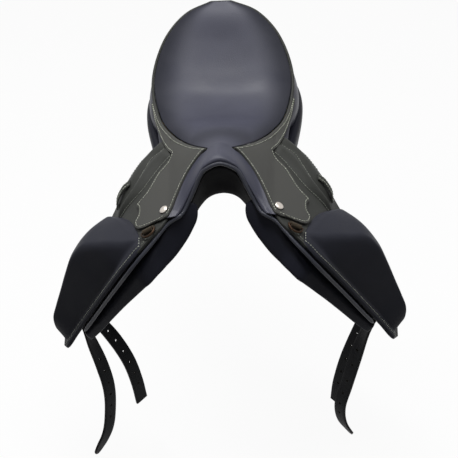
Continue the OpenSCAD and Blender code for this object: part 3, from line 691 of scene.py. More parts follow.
# %% [markdown]
# The rim of the seat is the line that other pieces start from: the welt lies round it and the skirts are
# tucked in under it. The rim list runs from the pommel round to the cantle; the mid list is the hollow of the
# seat beside each point. A skirt is given by its edges, from the welt down to the line where it bends.

# %% Lines of seat and skirt
LAYER_GAP = 0.5
SEAT_GAP = 0.3
WELT_D = 5
SEAT_RIM = [(19, -125, 91), (38, -100, 80), (56, -66, 66), (80, -20, 55), (104, 30, 57), (118, 87, 82),
            (114, 130, 112), (94, 170, 147), (60, 200, 174), (17, 214, 188)]
SEAT_MID = [(0, -122, 98), (0, -98, 92), (0, -64, 81), (0, -20, 62), (0, 30, 48), (0, 84, 55),
            (0, 122, 80), (0, 160, 117), (0, 193, 159), (0, 216, 188)]
SKIRT_T = 4
SKIRT_IN = 2 * LAYER_GAP
SKIRT_OUT = SKIRT_IN + SKIRT_T
SKIRT_TUCK = 1.2
SKIRT_DROP = 3.5
SKIRT_FOLD_S = 13.7
SKIRT_FLAT_S = -10.5
SKIRT_STEEP_S = -14
SKIRT_UPPER_PLACE = [(0, 0), (0.2, 0.05), (0.5, 0.13), (0.62, 0.17), (0.76, 0.22), (0.86, 0.31), (0.93, 0.4),
                     (1, 0.53)]
SKIRT_FIXED_EDGE = [(0, (-14, -214)), (0.1, (2, -215)), (0.18, (13.7, -213)), (0.34, (13.7, -180)),
                    (0.5, (13.7, -140)), (0.62, (12.5, -97)), (0.69, (-4, -84)), (0.76, (-13, -70)),
                    (0.86, (-3, -46)), (0.93, (7, -10)), (1, (20, 70))]
SKIRT_LOWER_EDGE = [(-215, 22), (-211, 44), (-204, 53), (-195, 57), (-186, 57), (-176, 51), (-160, 50),
                    (-150, 54), (-145, 53), (-138, 43), (-128, 33), (-114, 24), (-103, 17)]
SKIRT_FREE = (0.18, 0.61)
SKIRT_CUT = [(0, 0), (0.3, 0.07), (0.55, 0.09), (1, 0.06)]
SKIRT_TAIL = 0.84
SKIRT_TAIL_KEPT = 0.8
SKIRT_SAG = 1.7
SKIRT_FAN = 1.3
SKIRT_COLUMNS = 100


def edge_out(t):
    """Level direction that points out from the seat's edge."""
    nudge = 0.01
    way = along(SEAT_RIM, np.minimum(1, t + nudge)) - along(SEAT_RIM, np.maximum(0, t - nudge))
    return unit(points(way[..., 1], -way[..., 0], 0))


def skirt_edge(t):
    f = curve(SKIRT_UPPER_PLACE, t)
    return along(SEAT_RIM, f) + edge_out(f) * SKIRT_TUCK - np.array([0, 0, SKIRT_DROP])


def skirt_at(t, w, out=SKIRT_T):
    """Fixed part of the skirt: t runs round its edge, w from the welt to the bend."""
    t = t + curve(SKIRT_CUT, w) * np.maximum(0, 1 - t / SKIRT_FREE[0])
    top = skirt_edge(t)
    x = top[:, 0] - SLOPE_X
    z = top[:, 2] - SLOPE_Z
    s0 = x * math.cos(TOP_SLOPE) - z * math.sin(TOP_SLOPE)
    d0 = x * math.sin(TOP_SLOPE) + z * math.cos(TOP_SLOPE) - FLARE * (top[:, 1] - FLARE_Y)
    low = curve(SKIRT_FIXED_EDGE, t)
    s = mix(s0, np.minimum(low[:, 0], SKIRT_FOLD_S), w)
    share = np.clip((s - SKIRT_FLAT_S) / (s0 - SKIRT_FLAT_S), 0, 1)
    kept = SKIRT_TAIL_KEPT * ease((t - SKIRT_TAIL) / (1 - SKIRT_TAIL))
    lift = np.where(s0 < SKIRT_STEEP_S, d0 * (1 - (1 - share) ** SKIRT_SAG), d0 * (1 - w * (1 - kept)))
    y = mix(top[:, 1], low[:, 1], w ** mix(SKIRT_FAN, 1, t))
    return on_slope(s, y, np.maximum(0, lift) + SKIRT_IN + out)


# %% [markdown]
# The seat and the pommel facing are cut so that the leather runs on over the head without a seam. Both are
# laid out as grids that share one row of points, welded there, and then rounded as one skin. The facing runs
# in under the front edge of each skirt. The puff is the height of the padding over the hollow. A share of
# painted shade, darker towards the side edges and in a band at the front, is stored on the mesh for the
# leather to read.

# %% Seat
COVER_T = 2.5
SEAT_PUFF = [(0, 0), (0.15, 4), (0.3, 10), (0.44, 13), (0.55, 15), (0.66, 16), (0.78, 15), (0.89, 11), (1, 0)]
SEAT_CROWN = 0.75
ARCH_LINE = [(0, -168, 88.5), (22, -171, 81), (31, -176, 71), (37, -181, 59), (44, -187, 46),
             (51.5, -194, 33), (58, -203, 25), (64, -210, 23)]
POMMEL_LINE = [(0, -124, 97), (20, -127, 90), (31, -141, 82), (40, -151, 72), (48.5, -159, 62),
               (57.5, -173, 54), (67, -189, 42), (74, -214, 35)]
POMMEL_SPANS = len(POMMEL_LINE) - 1
POMMEL_UNDER = 0.02
POMMEL_SWELL = 5
POMMEL_FLATTER = 0.4
POMMEL_UP = np.array([0, -0.5, 0.86])
PIPING_D = 6
PIPING_MARGIN = -2
GROOVE = 7
GROOVE_FROM = 0.86
SEAT_COLUMNS = 20
SEAT_ROWS = 84
POMMEL_ROWS = 14
# Painted shade on the seat: where it starts across the width, the strength of its band at the front, and
# where that band ends
PAINTED_SHADE_FROM = 0.48
PAINTED_SHADE_FRONT = 0.7
PAINTED_SHADE_END_T = 0.36


def seat_at(t, v, puff=1):
    rim = along(SEAT_RIM, t)
    mid = along(SEAT_MID, t)
    a = v * v
    crown = 1 - SEAT_CROWN * a - (1 - SEAT_CROWN) * a ** 3
    swell = puff * curve(SEAT_PUFF, t) * crown
    return points(rim[..., 0] * v, mix(mid[..., 1], rim[..., 1], a), mix(mid[..., 2], rim[..., 2], a) + swell)


def both_sides(half):
    """A left line and its mirror image as one line that starts on the right."""
    half = np.array(half, float)
    return np.concatenate([half[:0:-1] * (-1, 1, 1), half])


def mirrored(half, k):
    """Place on the left half of a line that runs on smoothly over the middle, k = 0, to the other side."""
    return along(both_sides(half), 0.5 + 0.5 * k)


def pommel_at(u, w):
    q = 2 * u - 1
    k = np.abs(q)
    seam = 1 / POMMEL_SPANS
    down = np.clip((k - seam) / (1 - seam), 0, 1)
    under = skirt_at(np.full_like(k, POMMEL_UNDER), down, 1)
    outer = mix(mirrored(POMMEL_LINE, k), under, ease(down / seam)[:, None])
    edge = np.where((k <= seam)[:, None], seat_at(np.zeros_like(k), np.minimum(k / seam, 1)), outer)
    arch = mirrored(ARCH_LINE, k)
    last = 1 - (PIPING_D / 2 + PIPING_MARGIN) / np.linalg.norm(arch - edge, axis=1)
    rise = POMMEL_SWELL * np.sin(math.pi * w ** 2) * (1 - POMMEL_FLATTER * k)
    rise = rise - GROOVE * ease((w - GROOVE_FROM) / (1 - GROOVE_FROM))
    place = mix(edge, arch, (w * last)[:, None]) + POMMEL_UP * rise[:, None]
    return place * points(np.sign(q), 1, 1)


# %% Seat and pommel in one skin
def make_seat():
    painted_shade_shares = []

    def place(u, t):
        # Painted shade: darker towards the side edges and in a band at the front end of the seat
        edge = ease((np.abs(2 * u - 1) - PAINTED_SHADE_FROM) / (1 - PAINTED_SHADE_FROM))
        front = PAINTED_SHADE_FRONT * np.sin(math.pi * np.clip(t / PAINTED_SHADE_END_T, 0, 1)) ** 2
        painted_shade_shares.append(np.maximum(edge * ease(t / PAINTED_SHADE_END_T), front))
        return seat_at(t, 2 * u - 1)

    seat = new_grid("seat", 2 * SEAT_COLUMNS, SEAT_ROWS, place)
    seat.data.attributes.new("painted_shade", "FLOAT", "POINT").data.foreach_set("value", painted_shade_shares[0])
    facing = new_grid("facing", 2 * SEAT_COLUMNS * POMMEL_SPANS, POMMEL_ROWS, pommel_at)
    skin = join("seat", [seat, facing])
    weld(skin, 0.2)
    outwards(skin)
    face(skin, UPWARDS)
    thicken(skin, COVER_T)
    dress_fixed(skin, seat_calf, "seat_leather", "seat_cover", "pommel_facing", "seat_foam")


make_seat()

# %% [markdown]
# A welt, a cord wrapped in thin leather, finishes the edge of the seat, and a thicker piping runs over the
# head and down the front of both panels. Both are tubes swept along a line: a grid is rolled round the line
# and its long edges are welded.

# %% Welt and piping
LEG_OUT = -14.5
PIPING_OUT = LEG_OUT + 6.5
PIPING_SLOPE = [(2, -216), (18, -229), (36, -245), (60, -258), (90, -264), (125, -257), (175, -245),
                (230, -233), (268, -224)]
TUBE_AROUND = 12
TUBE_UP = (0.0, 0.3, 1.0)
TUBE_END_ROWS = 3


def new_tube(name, path, diameter):
    """Tube along a dense line of points, closed at its ends."""
    ahead = unit(np.gradient(path, axis=0))
    aside = unit(np.cross(ahead, TUBE_UP))
    above = np.cross(ahead, aside)
    last = len(path) - 1

    def place(u, v):
        i = np.rint(v * last).astype(int)
        turn = 2 * math.pi * u
        close = np.clip(np.minimum(i, last - i) / TUBE_END_ROWS, 0, 1)
        r = diameter / 2 * np.sqrt(1 - (1 - close) ** 2)
        return path[i] + (r * np.cos(turn))[:, None] * aside[i] + (r * np.sin(turn))[:, None] * above[i]

    tube = new_grid(name, TUBE_AROUND, last, place)
    weld(tube)
    outwards(tube)
    smooth(tube)
    return tube


def welt_at(t):
    return along(SEAT_RIM, t) + edge_out(t) * (WELT_D / 2 + SEAT_GAP) - np.array([0, 0, WELT_D / 2])


def make_welt():
    half = welt_at(np.linspace(1, 0, 180))
    welt = new_tube("seat_welt", np.concatenate([half[::-1], half * (-1, 1, 1)]), WELT_D)
    dress_fixed(welt, flap_hide, "seat_leather", "seat_welt")


def make_piping():
    side = np.concatenate([np.array(ARCH_LINE, float),
                           [on_slope(s, y, PIPING_OUT) for s, y in PIPING_SLOPE]])
    piping = new_tube("front_piping", along(both_sides(side), np.linspace(0, 1, 300)), PIPING_D)
    dress_fixed(piping, piping_calf, "panel_leather", "front_piping")


make_welt()
make_piping()

# %% [markdown]
# Behind the piping the gullet lining closes the arch and runs back as the roof of the channel over the
# horse's spine. The cantle facing covers the back of the seat from the welt down to the panels.

# %% Lining and cantle facing
FACING_T = 2.5
LINING_FRONT_Y = ARCH_LINE[0][1] + PIPING_D / 2 - 0.5
LINING_REAR_Y = 212
LINING_ROOF = [(LINING_FRONT_Y, 83), (-148, 52), (-128, 14), (-104, 0), (-60, -1.5), (0, FACING_T), (80, 8),
               (150, 26), (LINING_REAR_Y, 58)]
CHANNEL_ROOF = [(0, 0), (12, -1), (20, -3), (26, -4), (31, -6), (36, -9), (40, -14)]
ARCH_RUN = 70
CANTLE_FOOT = [(105, -30, 6), (107, -2, 14), (108, 26, 26), (122, 60, 24), (131, 100, 26), (131, 140, 31),
               (119, 180, 40), (84, 211, 52), (40, 224, 58), (0, 227, 62)]
FACING_FIRST_T = 0.325
FACING_SWELL = 6
CANTLE_MIDDLE = (0, 60 * MM, 0)
LINING_SEAM_V = 0.004


def lining_at(u, v):
    q = 2 * u - 1
    y = mix(LINING_FRONT_Y, LINING_REAR_Y, v ** 1.3)
    flat = ease((y - LINING_FRONT_Y) / ARCH_RUN)
    head = mirrored(ARCH_LINE[:6], np.abs(q))
    roof = along(CHANNEL_ROOF, np.abs(q))
    x = np.sign(q) * mix(head[:, 0], roof[:, 0], flat)
    z = mix(head[:, 2] - ARCH_LINE[0][2], roof[:, 1], flat) + curve(LINING_ROOF, y)
    return points(x, y + (1 - flat) * (head[:, 1] - ARCH_LINE[0][1]), z)


def make_lining():
    lining = cut_sheet("gullet_lining", 24, 60, lining_at, FACING_T, UPWARDS)
    dress_fixed(lining, lining_hide, "panel_leather", "gullet_lining")
    seam = lining_at(np.linspace(0.03, 0.97, 120), np.full(120, LINING_SEAM_V))
    row = stitch_row("gullet_stitching", [seam - np.array([0, 0.4, FACING_T + 0.2])], grey_thread,
                     "panel_leather")
    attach(row, "saddle")


def facing_at(u, w):
    q = 2 * u - 1
    k = 1 - np.abs(q)
    t = mix(FACING_FIRST_T, 1, k)
    top = along(SEAT_RIM, t) - np.array([0, 0, WELT_D + 2 * SEAT_GAP + COVER_T])
    foot = along(CANTLE_FOOT, k)
    swell = edge_out(t) * (FACING_SWELL * np.sin(math.pi * w))[:, None]
    return (mix(top, foot, w[:, None]) + swell) * points(-np.sign(q), 1, 1)


def make_cantle():
    facing = cut_sheet("cantle_facing", 120, 22, facing_at, FACING_T, lambda c: c * (1, 1, 0) - CANTLE_MIDDLE)
    dress_fixed(facing, seat_calf, "facing_leather", "cantle_facing")


make_lining()
make_cantle()

# %% [markdown]
# The panels are flocked with wool and follow the horse's back: a cushion along each side of the channel and a
# leg below the flap with a thick roll along its front. Each starts as a ball whose rings become soft, rounded
# sections between four corners.

# %% Panels
CUSHION_Y = [-178, -150, -80, 0, 80, 150, 200, 228]
INNER_TOP = [(44, 12), (42, 8), (40, 2), (40, -8), (40, -10), (40, 2), (41, 26), (42, 42)]
OUTER_TOP = [(97, -28), (99, -24), (102, -14), (122, 24), (141, 42), (143, 48), (126, 52), (92, 56)]
OUTER_LOW = [(90, -62), (92, -64), (98, -60), (114, -42), (127, -36), (127, -24), (114, 2), (88, 30)]
INNER_LOW = [(54, -30), (50, -44), (46, -54), (44, -60), (44, -60), (46, -46), (46, -10), (46, 24)]
CUSHION_END = 8
CUSHION_FULLNESS = 0.6
CUSHION_ROUND = (0.05, 0.05)
LEG_T = 26
ROLL_T = 46
LEG_FULLNESS = 0.55
LEG_ROUND = (0.04, 0.03)
PAD_AROUND = 48
LEG_END_S = 280
LEG_TIP_S = 296
LEG_FRONT = [(-44, -190), (-28, -195), (0, -209), (24, -227), (46, -242), (60, -248), (90, -254), (125, -247),
             (175, -236), (230, -224), (280, -213), (296, -206)]
LEG_REAR = [(-44, -186), (5, -184), (35, -146), (58, -98), (80, -76), (110, -78), (150, -88), (220, -104),
            (280, -128), (296, -140)]
LEG_FULL = [(-44, 0.32), (-28, 0.54), (-5, 0.8), (25, 0.96), (60, 0.89), (110, 0.74), (160, 0.59), (210, 0.5),
            (250, 0.46), (296, 0.36)]
LEG_THIN = [(-44, 0.8 * ROLL_T), (20, 0.8 * ROLL_T), (80, LEG_T), (296, LEG_T)]
LEG_LIFT = [(-44, 5), (12, 5), (34, 0), (296, 0)]
ROLL_AHEAD = [(-44, 11), (-28, 14.5), (0, 15.3), (24, 15.5), (46, 18), (90, 24), (200, 19), (280, 10)]


def pad_at(corners, turn, v, fullness, first, last):
    """Points round soft sections, each between four corners, that round off to nothing at both ends."""
    a, b, c, d = corners
    cu = np.cos(turn)
    cv = np.sin(turn)
    across = (0.5 + 0.5 * np.sign(cu) * np.abs(cu) ** fullness)[:, None]
    deep = (0.5 + 0.5 * np.sign(cv) * np.abs(cv) ** fullness)[:, None]
    near = np.clip(np.minimum(v / first, (1 - v) / last), 0, 1)
    size = np.sqrt(1 - (1 - near) ** 2)[:, None]
    return mix(sum(corners) / 4, mix(mix(a, b, across), mix(d, c, across), deep), size)


def cushion_at(turn, v):
    y = mix(CUSHION_Y[0] - CUSHION_END, CUSHION_Y[-1] + CUSHION_END, v)
    corners = []
    for corner in (INNER_TOP, OUTER_TOP, OUTER_LOW, INNER_LOW):
        p = curve(list(zip(CUSHION_Y, corner)), y)
        corners.append(points(p[:, 0], y, p[:, 1]))
    return pad_at(corners, turn, v, CUSHION_FULLNESS, *CUSHION_ROUND)


def leg_at(turn, v):
    s = mix(LEG_FRONT[0][0], LEG_TIP_S, v)
    front = curve(LEG_FRONT, s)
    rear = curve(LEG_REAR, s)
    full = curve(LEG_FULL, s)
    thin = curve(LEG_THIN, s) * full
    out = LEG_OUT + curve(LEG_LIFT, s)
    corners = [on_slope(s, front, out), on_slope(s, rear, out), on_slope(s, rear, LEG_OUT - thin),
               on_slope(s, front - curve(ROLL_AHEAD, s), LEG_OUT - ROLL_T * full)]
    return pad_at(corners, turn, v, LEG_FULLNESS, *LEG_ROUND)


def make_panel(side):
    for name, place, rows in (("panel_cushion", cushion_at, 100), ("panel_leg", leg_at, 90)):
        pad = new_ball(f"{side}_{name}", PAD_AROUND, rows, place, side)
        soften(pad)
        dress_fixed(pad, panel_calf, "panel_leather", f"{side}_{name}")


for side in SIDES:
    make_panel(side)

# %% [markdown]
# Between the panel and the girth straps lies the sweat flap, a plain sheet of leather. The straps hang on a
# web of flax from the tree.

# %% Sweat flaps and webs
FLAP_T = 5
STRAP_T = 4
STRAP_W = 25
SWEAT_T = 4
STRAP_OUT = -FLAP_T - LAYER_GAP
STRAP_MID = STRAP_OUT - STRAP_T / 2
SWEAT_OUT = STRAP_OUT - STRAP_T - LAYER_GAP
LAYER_TOP_S = 36
WEB_END_S = 60
WEB_MARGIN = 10
STRAP_Y = {"front": -186, "rear": -146}
SWEAT_FRONT = [(36, -228), (60, -242), (90, -250), (125, -244), (175, -233), (230, -221), (270, -212),
               (280, -200)]
SWEAT_REAR = [(36, -66), (90, -78), (150, -92), (220, -106), (270, -122), (280, -136)]


def sideways(side):
    """Direction that points out from the slope of one side."""
    return (SIDES[side], 0, 1)


def make_sweat_flap(side):
    def place(u, v):
        s = mix(LAYER_TOP_S, LEG_END_S, v)
        return on_slope(s, between(SWEAT_FRONT, SWEAT_REAR, s, u), SWEAT_OUT)

    flap = cut_sheet(f"{side}_sweat_flap", 24, 44, place, SWEAT_T, sideways(side), side)
    dress_fixed(flap, panel_calf, "flap_leather", f"{side}_sweat_flap")


def make_girth_web(side):
    first = STRAP_Y["front"] - STRAP_W / 2 - WEB_MARGIN
    last = STRAP_Y["rear"] + STRAP_W / 2 + WEB_MARGIN

    def place(u, v):
        return on_slope(mix(LAYER_TOP_S, WEB_END_S, v), mix(first, last, u), STRAP_OUT)

    web = cut_sheet(f"{side}_girth_web", 20, 8, place, STRAP_T, sideways(side), side)
    dress_fixed(web, webbing, "webbing", f"{side}_girth_web")


for side in SIDES:
    make_sweat_flap(side)
    make_girth_web(side)

# %% [markdown]
# Seat webbing carries the foam over the open middle of the tree. It is hidden in use, but the saddle would be
# a hard board without it.

# %% Seat webbing
FOAM_T = 22
FOAM_GAP = 0.8
FOAM_SHARE = [(0, 0.3), (0.2, 0.75), (0.4, 1), (0.9, 1), (1, 0.9)]
SEAT_WEB_W = 60
SEAT_WEB_T = 2
SEAT_WEB_REACH = 0.6
SEAT_WEB_SPAN = (0.02, 0.9)


def seat_web_at(u, v):
    t = mix(*SEAT_WEB_SPAN, v)
    reach = np.minimum(SEAT_WEB_REACH, SEAT_WEB_W / 2 / along(SEAT_RIM, t)[:, 0])
    drop = COVER_T + FOAM_GAP + FOAM_T * curve(FOAM_SHARE, t) + 2 * SEAT_GAP
    return seat_at(t, (2 * u - 1) * reach, 0) - points(0, 0, drop)


seat_web = cut_sheet("seat_webbing", 12, 40, seat_web_at, SEAT_WEB_T, UPWARDS)
dress_fixed(seat_web, webbing, "webbing", "seat_webbing")

# %% [markdown]
# Each flap is one sheet of hide, fixed at its top and bending at the line where it is lifted. Two padded
# channels run down behind the knee block: the sheet is raised between three sewn lines. The imported model
# splits the flap at the bend; the sheet here is one piece across it.

# %% Flaps
FLAP_SPLIT_S = 61
FLAP_END_S = 344
FLAP_HINGE_S = 62
FLAP_HINGE_Y = -150
FLAP_BEND = 5
FLAP_FRONT = [(36, -240), (60, -254), (85, -260), (125, -252), (175, -240), (230, -228), (285, -217),
              (328, -209), (344, -190)]
FLAP_REAR = [(36, -14), (70, -48), (120, -72), (180, -78), (240, -80), (296, -92), (328, -112), (344, -135)]
FLAP_TOP = [(-252, 52), (-240, 32), (-226, 10), (-212, -2), (-203, 0), (-198, 36), (-136, 36), (-122, 26),
            (-112, 19), (-102, 17.5), (-99, 17.5), (-96, 6), (-88, -16), (-60, -28), (-40, -30), (-28, -18),
            (-14, 8)]
FLAP_ROW = [(22, -216), (30, -227), (38, -236), (47, -243), (60, -249)]
SKIRT_NECK = [(-101, 12), (-85, -5), (-70, -12), (-44, -6), (-8, 4)]
CHANNEL_REAR = [(-10, 2), (18, -14), (45, -30), (70, -49), (120, -74)]
CHANNEL_MID = [(-10, -32), (10, -38), (28, -46), (40, -64), (52, -81), (66, -97), (85, -108), (120, -113)]
CHANNEL_FRONT = [(-10, -62), (5, -72), (20, -86), (38, -104), (52, -116), (66, -121), (90, -125), (120, -128)]
CHANNEL_H = (6, 8)
CHANNEL_START = 10
CHANNEL_END_S = (84, 124)
FLAP_TOP_SHARE = 0.2


def channel_height(s, y):
    """Height of the padded channels over the flap."""
    rear = curve(CHANNEL_REAR, s)
    mid = curve(CHANNEL_MID, s)
    front = curve(CHANNEL_FRONT, s)
    total = 0
    for high, a, b in zip(CHANNEL_H, (mid, front), (rear, mid)):
        share = np.clip((y - a) / (b - a), 0, 1)
        total = total + high * np.sin(math.pi * share) ** 0.7
    first, last = CHANNEL_END_S
    start = np.interp(y, *zip(*SKIRT_NECK)) - 2
    return total * ease((s - start) / CHANNEL_START) * (1 - ease((s - first) / (last - first)))


def flap_at(u, v):
    w = v / FLAP_TOP_SHARE
    top_y = mix(FLAP_TOP[0][0], FLAP_TOP[-1][0], u)
    low_y = between(FLAP_FRONT, FLAP_REAR, FLAP_SPLIT_S, u)
    hang_s = mix(FLAP_SPLIT_S, FLAP_END_S, (v - FLAP_TOP_SHARE) / (1 - FLAP_TOP_SHARE))
    top = v < FLAP_TOP_SHARE
    s = np.where(top, mix(np.interp(top_y, *zip(*FLAP_TOP)), FLAP_SPLIT_S, w), hang_s)
    y = np.where(top, mix(top_y, low_y, w), between(FLAP_FRONT, FLAP_REAR, hang_s, u))
    return on_slope(s, y, channel_height(s, y))


def bend_flap(piece, side):
    start, end = [slope_place(side, FLAP_HINGE_S + step, FLAP_HINGE_Y, 0)
                  for step in (-FLAP_BEND, FLAP_BEND)]
    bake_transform(piece)


# %% [markdown]
# A seam is laid on the finished leather: from a line above it, rays are sent down to meet its outer face. The
# thread then follows every rise of the piece below.

# %% Flaps with their seams
FLAP_SEAM = 5
BLOCK_TOP_S = 47
THREAD_RISE = 0.35
LAY_REACH = 80
ROW_POINTS = 160
FLAP_ROWS = [(FLAP_ROW, 22, BLOCK_TOP_S, 0), (CHANNEL_MID, -6, 96, 0), (CHANNEL_FRONT, -8, 100, 0),
             (CHANNEL_REAR, 4, 70, -4)]


def lay_on(piece, line, lean, side):
    """Lays a line of points on the outer face of a piece, seen along the outward direction of the slope."""
    bpy.context.view_layer.update()
    lean = np.broadcast_to(lean, len(line))
    laid = []
    for place, angle in zip(on_side(line * MM, side), lean):
        out = Vector((math.sin(angle) * SIDES[side], 0, math.cos(angle)))
        met, found = piece.ray_cast(Vector(place) + out * LAY_REACH * MM, -out)[:2]
        if met:
            laid.append(found + out * THREAD_RISE * MM)
    return on_side(np.array(laid) / MM, side)


def slope_row(piece, s, y, side):
    """Line on a piece over places (s, y) of the slope."""
    return lay_on(piece, on_slope(s, y, 0), slope_angle(s), side)


def knot_row(piece, knots, first, last, step, side):
    """Line on a piece along knots of (s, y), moved aft by a step."""
    s = np.linspace(first, last, ROW_POINTS)
    return slope_row(piece, s, curve(knots, s) + step, side)


def make_flap(side):
    flap = cut_sheet(f"{side}_flap_leather", 80, 84, flap_at, FLAP_T, sideways(side), side)
    dress(flap, flap_hide, "flap_leather", f"{side}_flap_top", f"{side}_flap")
    bend_flap(flap, side)
    rows = [knot_row(flap, *row, side) for row in FLAP_ROWS]
    bend_flap(stitch_row(f"{side}_flap_stitching", rows, grey_thread, "flap_leather", side), side)


for side in SIDES:
    make_flap(side)

# %% [markdown]
# The knee block is a shaped foam core under smooth calf, sewn to the flap. Its crest lies nearer the front
# edge and its sides fall away full and round. An upper and a lower grid with one shared outline close into a
# pad.

# %% Knee blocks
BLOCK_H = 58
BLOCK_COVER_T = 2.5
BLOCK_RISE = [(BLOCK_TOP_S, 0), (58, 0.06), (72, 0.22), (90, 0.48), (110, 0.76), (128, 0.94), (145, 1.05),
              (165, 1.15), (332, 1.4)]
BLOCK_HIGH = [(BLOCK_TOP_S, 0.98), (160, 0.98), (200, 0.89), (240, 0.77), (275, 0.67), (300, 0.58),
              (320, 0.36), (332, 0.1)]
BLOCK_RIDGE = 0.2
BLOCK_TOP_LINE = [(0, BLOCK_TOP_S), (0.3, 55), (0.6, 69), (0.8, 87), (1, 108)]
BLOCK_TOP_FOLLOW = 0.45
BLOCK_WRAP = 0.02
BLOCK_FRONT = [(BLOCK_TOP_S, -228), (66, -234), (84, -239), (110, -241), (150, -233), (200, -222),
               (260, -209), (308, -203), (332, -194)]
BLOCK_REAR = [(BLOCK_TOP_S, -146), (66, -128), (84, -119), (110, -116), (150, -124), (200, -134), (260, -146),
              (308, -154), (332, -162)]
BLOCK_FLANGE = 0.12
BLOCK_CREST = 0.38
BLOCK_FULLNESS = 0.85
BLOCK_FOOT = 0.4
BLOCK_BACK_FULLNESS = 0.75
BLOCK_SKIN_EDGE = 0.06
BLOCK_END = 0.035
BLOCK_OVER = 0.8
BLOCK_SEAM_Y = (-240, -206)
BLOCK_SEAM_DROP = 3
BLOCK_SEAM_END_S = 330


def soft_least(a, b, reach):
    """The smaller of two heights, rounded where they meet."""
    h = np.clip(0.5 + 0.5 * (b - a) / reach, 0, 1)
    return mix(b, a, h) - reach * h * (1 - h)


def block_at(j, i, share):
    bulge = np.clip((j - BLOCK_FLANGE) / (1 - BLOCK_FLANGE), 0, 1)
    top = curve(BLOCK_TOP_LINE, bulge)
    s = mix(top, BLOCK_RISE[-1][0], i)
    flank = np.where(bulge < BLOCK_CREST, bulge / BLOCK_CREST, (1 - bulge) / (1 - BLOCK_CREST))
    back = np.sin(math.pi / 2 * flank) ** BLOCK_BACK_FULLNESS
    side_rise = np.where(bulge < BLOCK_CREST, flank ** BLOCK_FULLNESS, back)
    top_rise = curve(BLOCK_RISE, s - BLOCK_TOP_FOLLOW * (top - BLOCK_TOP_S))
    rise = np.maximum(0, soft_least(top_rise, side_rise, BLOCK_RIDGE))
    skin = BLOCK_COVER_T * ease(np.minimum(j, 1 - j) / BLOCK_SKIN_EDGE)
    high = (BLOCK_H * curve(BLOCK_HIGH, s) * rise + skin) * ease(np.minimum(i, 1 - i) / BLOCK_END)
    wrap = 1 - np.clip(j / BLOCK_WRAP, 0, 1)
    front = curve(BLOCK_FRONT, s)
    over = np.maximum(0, j - BLOCK_WRAP) / (BLOCK_FLANGE - BLOCK_WRAP)
    flange = mix(curve(FLAP_FRONT, s) - BLOCK_OVER, front, over)
    y = np.where(j < BLOCK_FLANGE, flange, mix(front, curve(BLOCK_REAR, s), bulge))
    return on_slope(s, y, BLOCK_FOOT + share * high - (FLAP_T + 2 * BLOCK_FOOT) * wrap)


def make_block(side):
    halves = [new_grid(f"{side}_block_half", 50, 80, lambda j, i, share=share: block_at(j, i, share), side)
              for share in (1, 0)]
    block = join(f"{side}_knee_block", halves)
    weld(block, 0.02)
    outwards(block)
    soften(block)
    dress(block, block_calf, "block_leather", f"{side}_knee_block_cover", f"{side}_knee_block_core")
    bend_flap(block, side)
    y = np.linspace(*BLOCK_SEAM_Y, 40)
    rows = [knot_row(block, FLAP_FRONT, BLOCK_TOP_S, BLOCK_SEAM_END_S, FLAP_SEAM, side),
            slope_row(block, np.full_like(y, BLOCK_TOP_S + BLOCK_SEAM_DROP), y, side)]
    bend_flap(stitch_row(f"{side}_block_stitching", rows, cream_thread, "block_leather", side), side)


# %% [markdown]
# The keeper behind the block is a strip of hide. It stands off the flap to take the end of a stirrup leather.

# %% Keepers
KEEPER_FIRST = (66, -79)
KEEPER_LAST = (105, -97)
KEEPER_W = 14
KEEPER_T = 3
KEEPER_GAP = 3
KEEPER_RAMP = 0.3
KEEPER_SEAMS = (0.2, 0.8)
KEEPER_SEAM_RISE = np.array([0.2, 0, 0.3])


def keeper_at(w, k):
    s = mix(KEEPER_FIRST[0], KEEPER_LAST[0], k)
    middle = mix(KEEPER_FIRST[1], KEEPER_LAST[1], k)
    y = middle + (w - 0.5) * KEEPER_W
    stand = KEEPER_GAP * ease(np.minimum(k, 1 - k) / KEEPER_RAMP)
    return on_slope(s, y, channel_height(s, middle) + SEAT_GAP + stand + KEEPER_T)


def make_keeper(side):
    keeper = cut_sheet(f"{side}_leather_keeper", 8, 26, keeper_at, KEEPER_T, sideways(side), side)
    dress(keeper, flap_hide, "flap_leather", f"{side}_leather_keeper")
    bend_flap(keeper, side)
    k = np.linspace(0.03, 0.97, 40)
    rows = [keeper_at(np.full_like(k, w), k) + KEEPER_SEAM_RISE for w in KEEPER_SEAMS]
    bend_flap(stitch_row(f"{side}_keeper_stitching", rows, cream_thread, "flap_leather", side), side)


for side in SIDES:
    make_block(side)
    make_keeper(side)

# %% [markdown]
# A skirt lies over each stirrup bar. It is tucked in under the welt, runs down over the tree and hangs free
# from the bar on, so that a rider can lift it to reach the buckle. One grid is the fixed part, a second the
# free part; they are welded along the bend.

# %% Skirts
SKIRT_BEND_FROM = SKIRT_FOLD_S + 0.2
SKIRT_BEND_TO = SKIRT_FOLD_S + 10
SKIRT_HINGE_Y = -160
SKIRT_SEAM = 4
SKIRT_UPPER_SEAM = 6
SKIRT_SEAM_T = 0.03
SKIRT_SEAM_W = (0.02, 0.96)
SKIRT_TAIL_SEAM_T = 0.76


def skirt_free_at(t, w):
    """Free part of the skirt, from the bend down to its lower edge."""
    low = curve(SKIRT_FIXED_EDGE, t)
    s = mix(np.minimum(low[:, 0], SKIRT_FOLD_S), curve(SKIRT_LOWER_EDGE, low[:, 1]), w)
    return on_slope(s, low[:, 1], SKIRT_OUT)


def bend_skirt(piece, side):
    start, end = [slope_place(side, s, SKIRT_HINGE_Y, 0) for s in (SKIRT_BEND_FROM, SKIRT_BEND_TO)]
    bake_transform(piece)


def seam_in(t, seam, far):
    """Line a seam's width inside the edge at the welt, or the far edge, of the fixed part."""
    width = np.linalg.norm(skirt_at(t, np.ones_like(t)) - skirt_at(t, np.zeros_like(t)), axis=1)
    share = np.minimum(seam / width, 0.5)
    return skirt_at(t, 1 - share if far else share)


def inside_line(outline, step):
    """Smooth line through knots of (s, y), moved to its left by a step."""
    line = along(outline, np.linspace(0, 1, 400))
    ahead = unit(np.gradient(line, axis=0))
    return line + step * np.stack([-ahead[:, 1], ahead[:, 0]], axis=1)


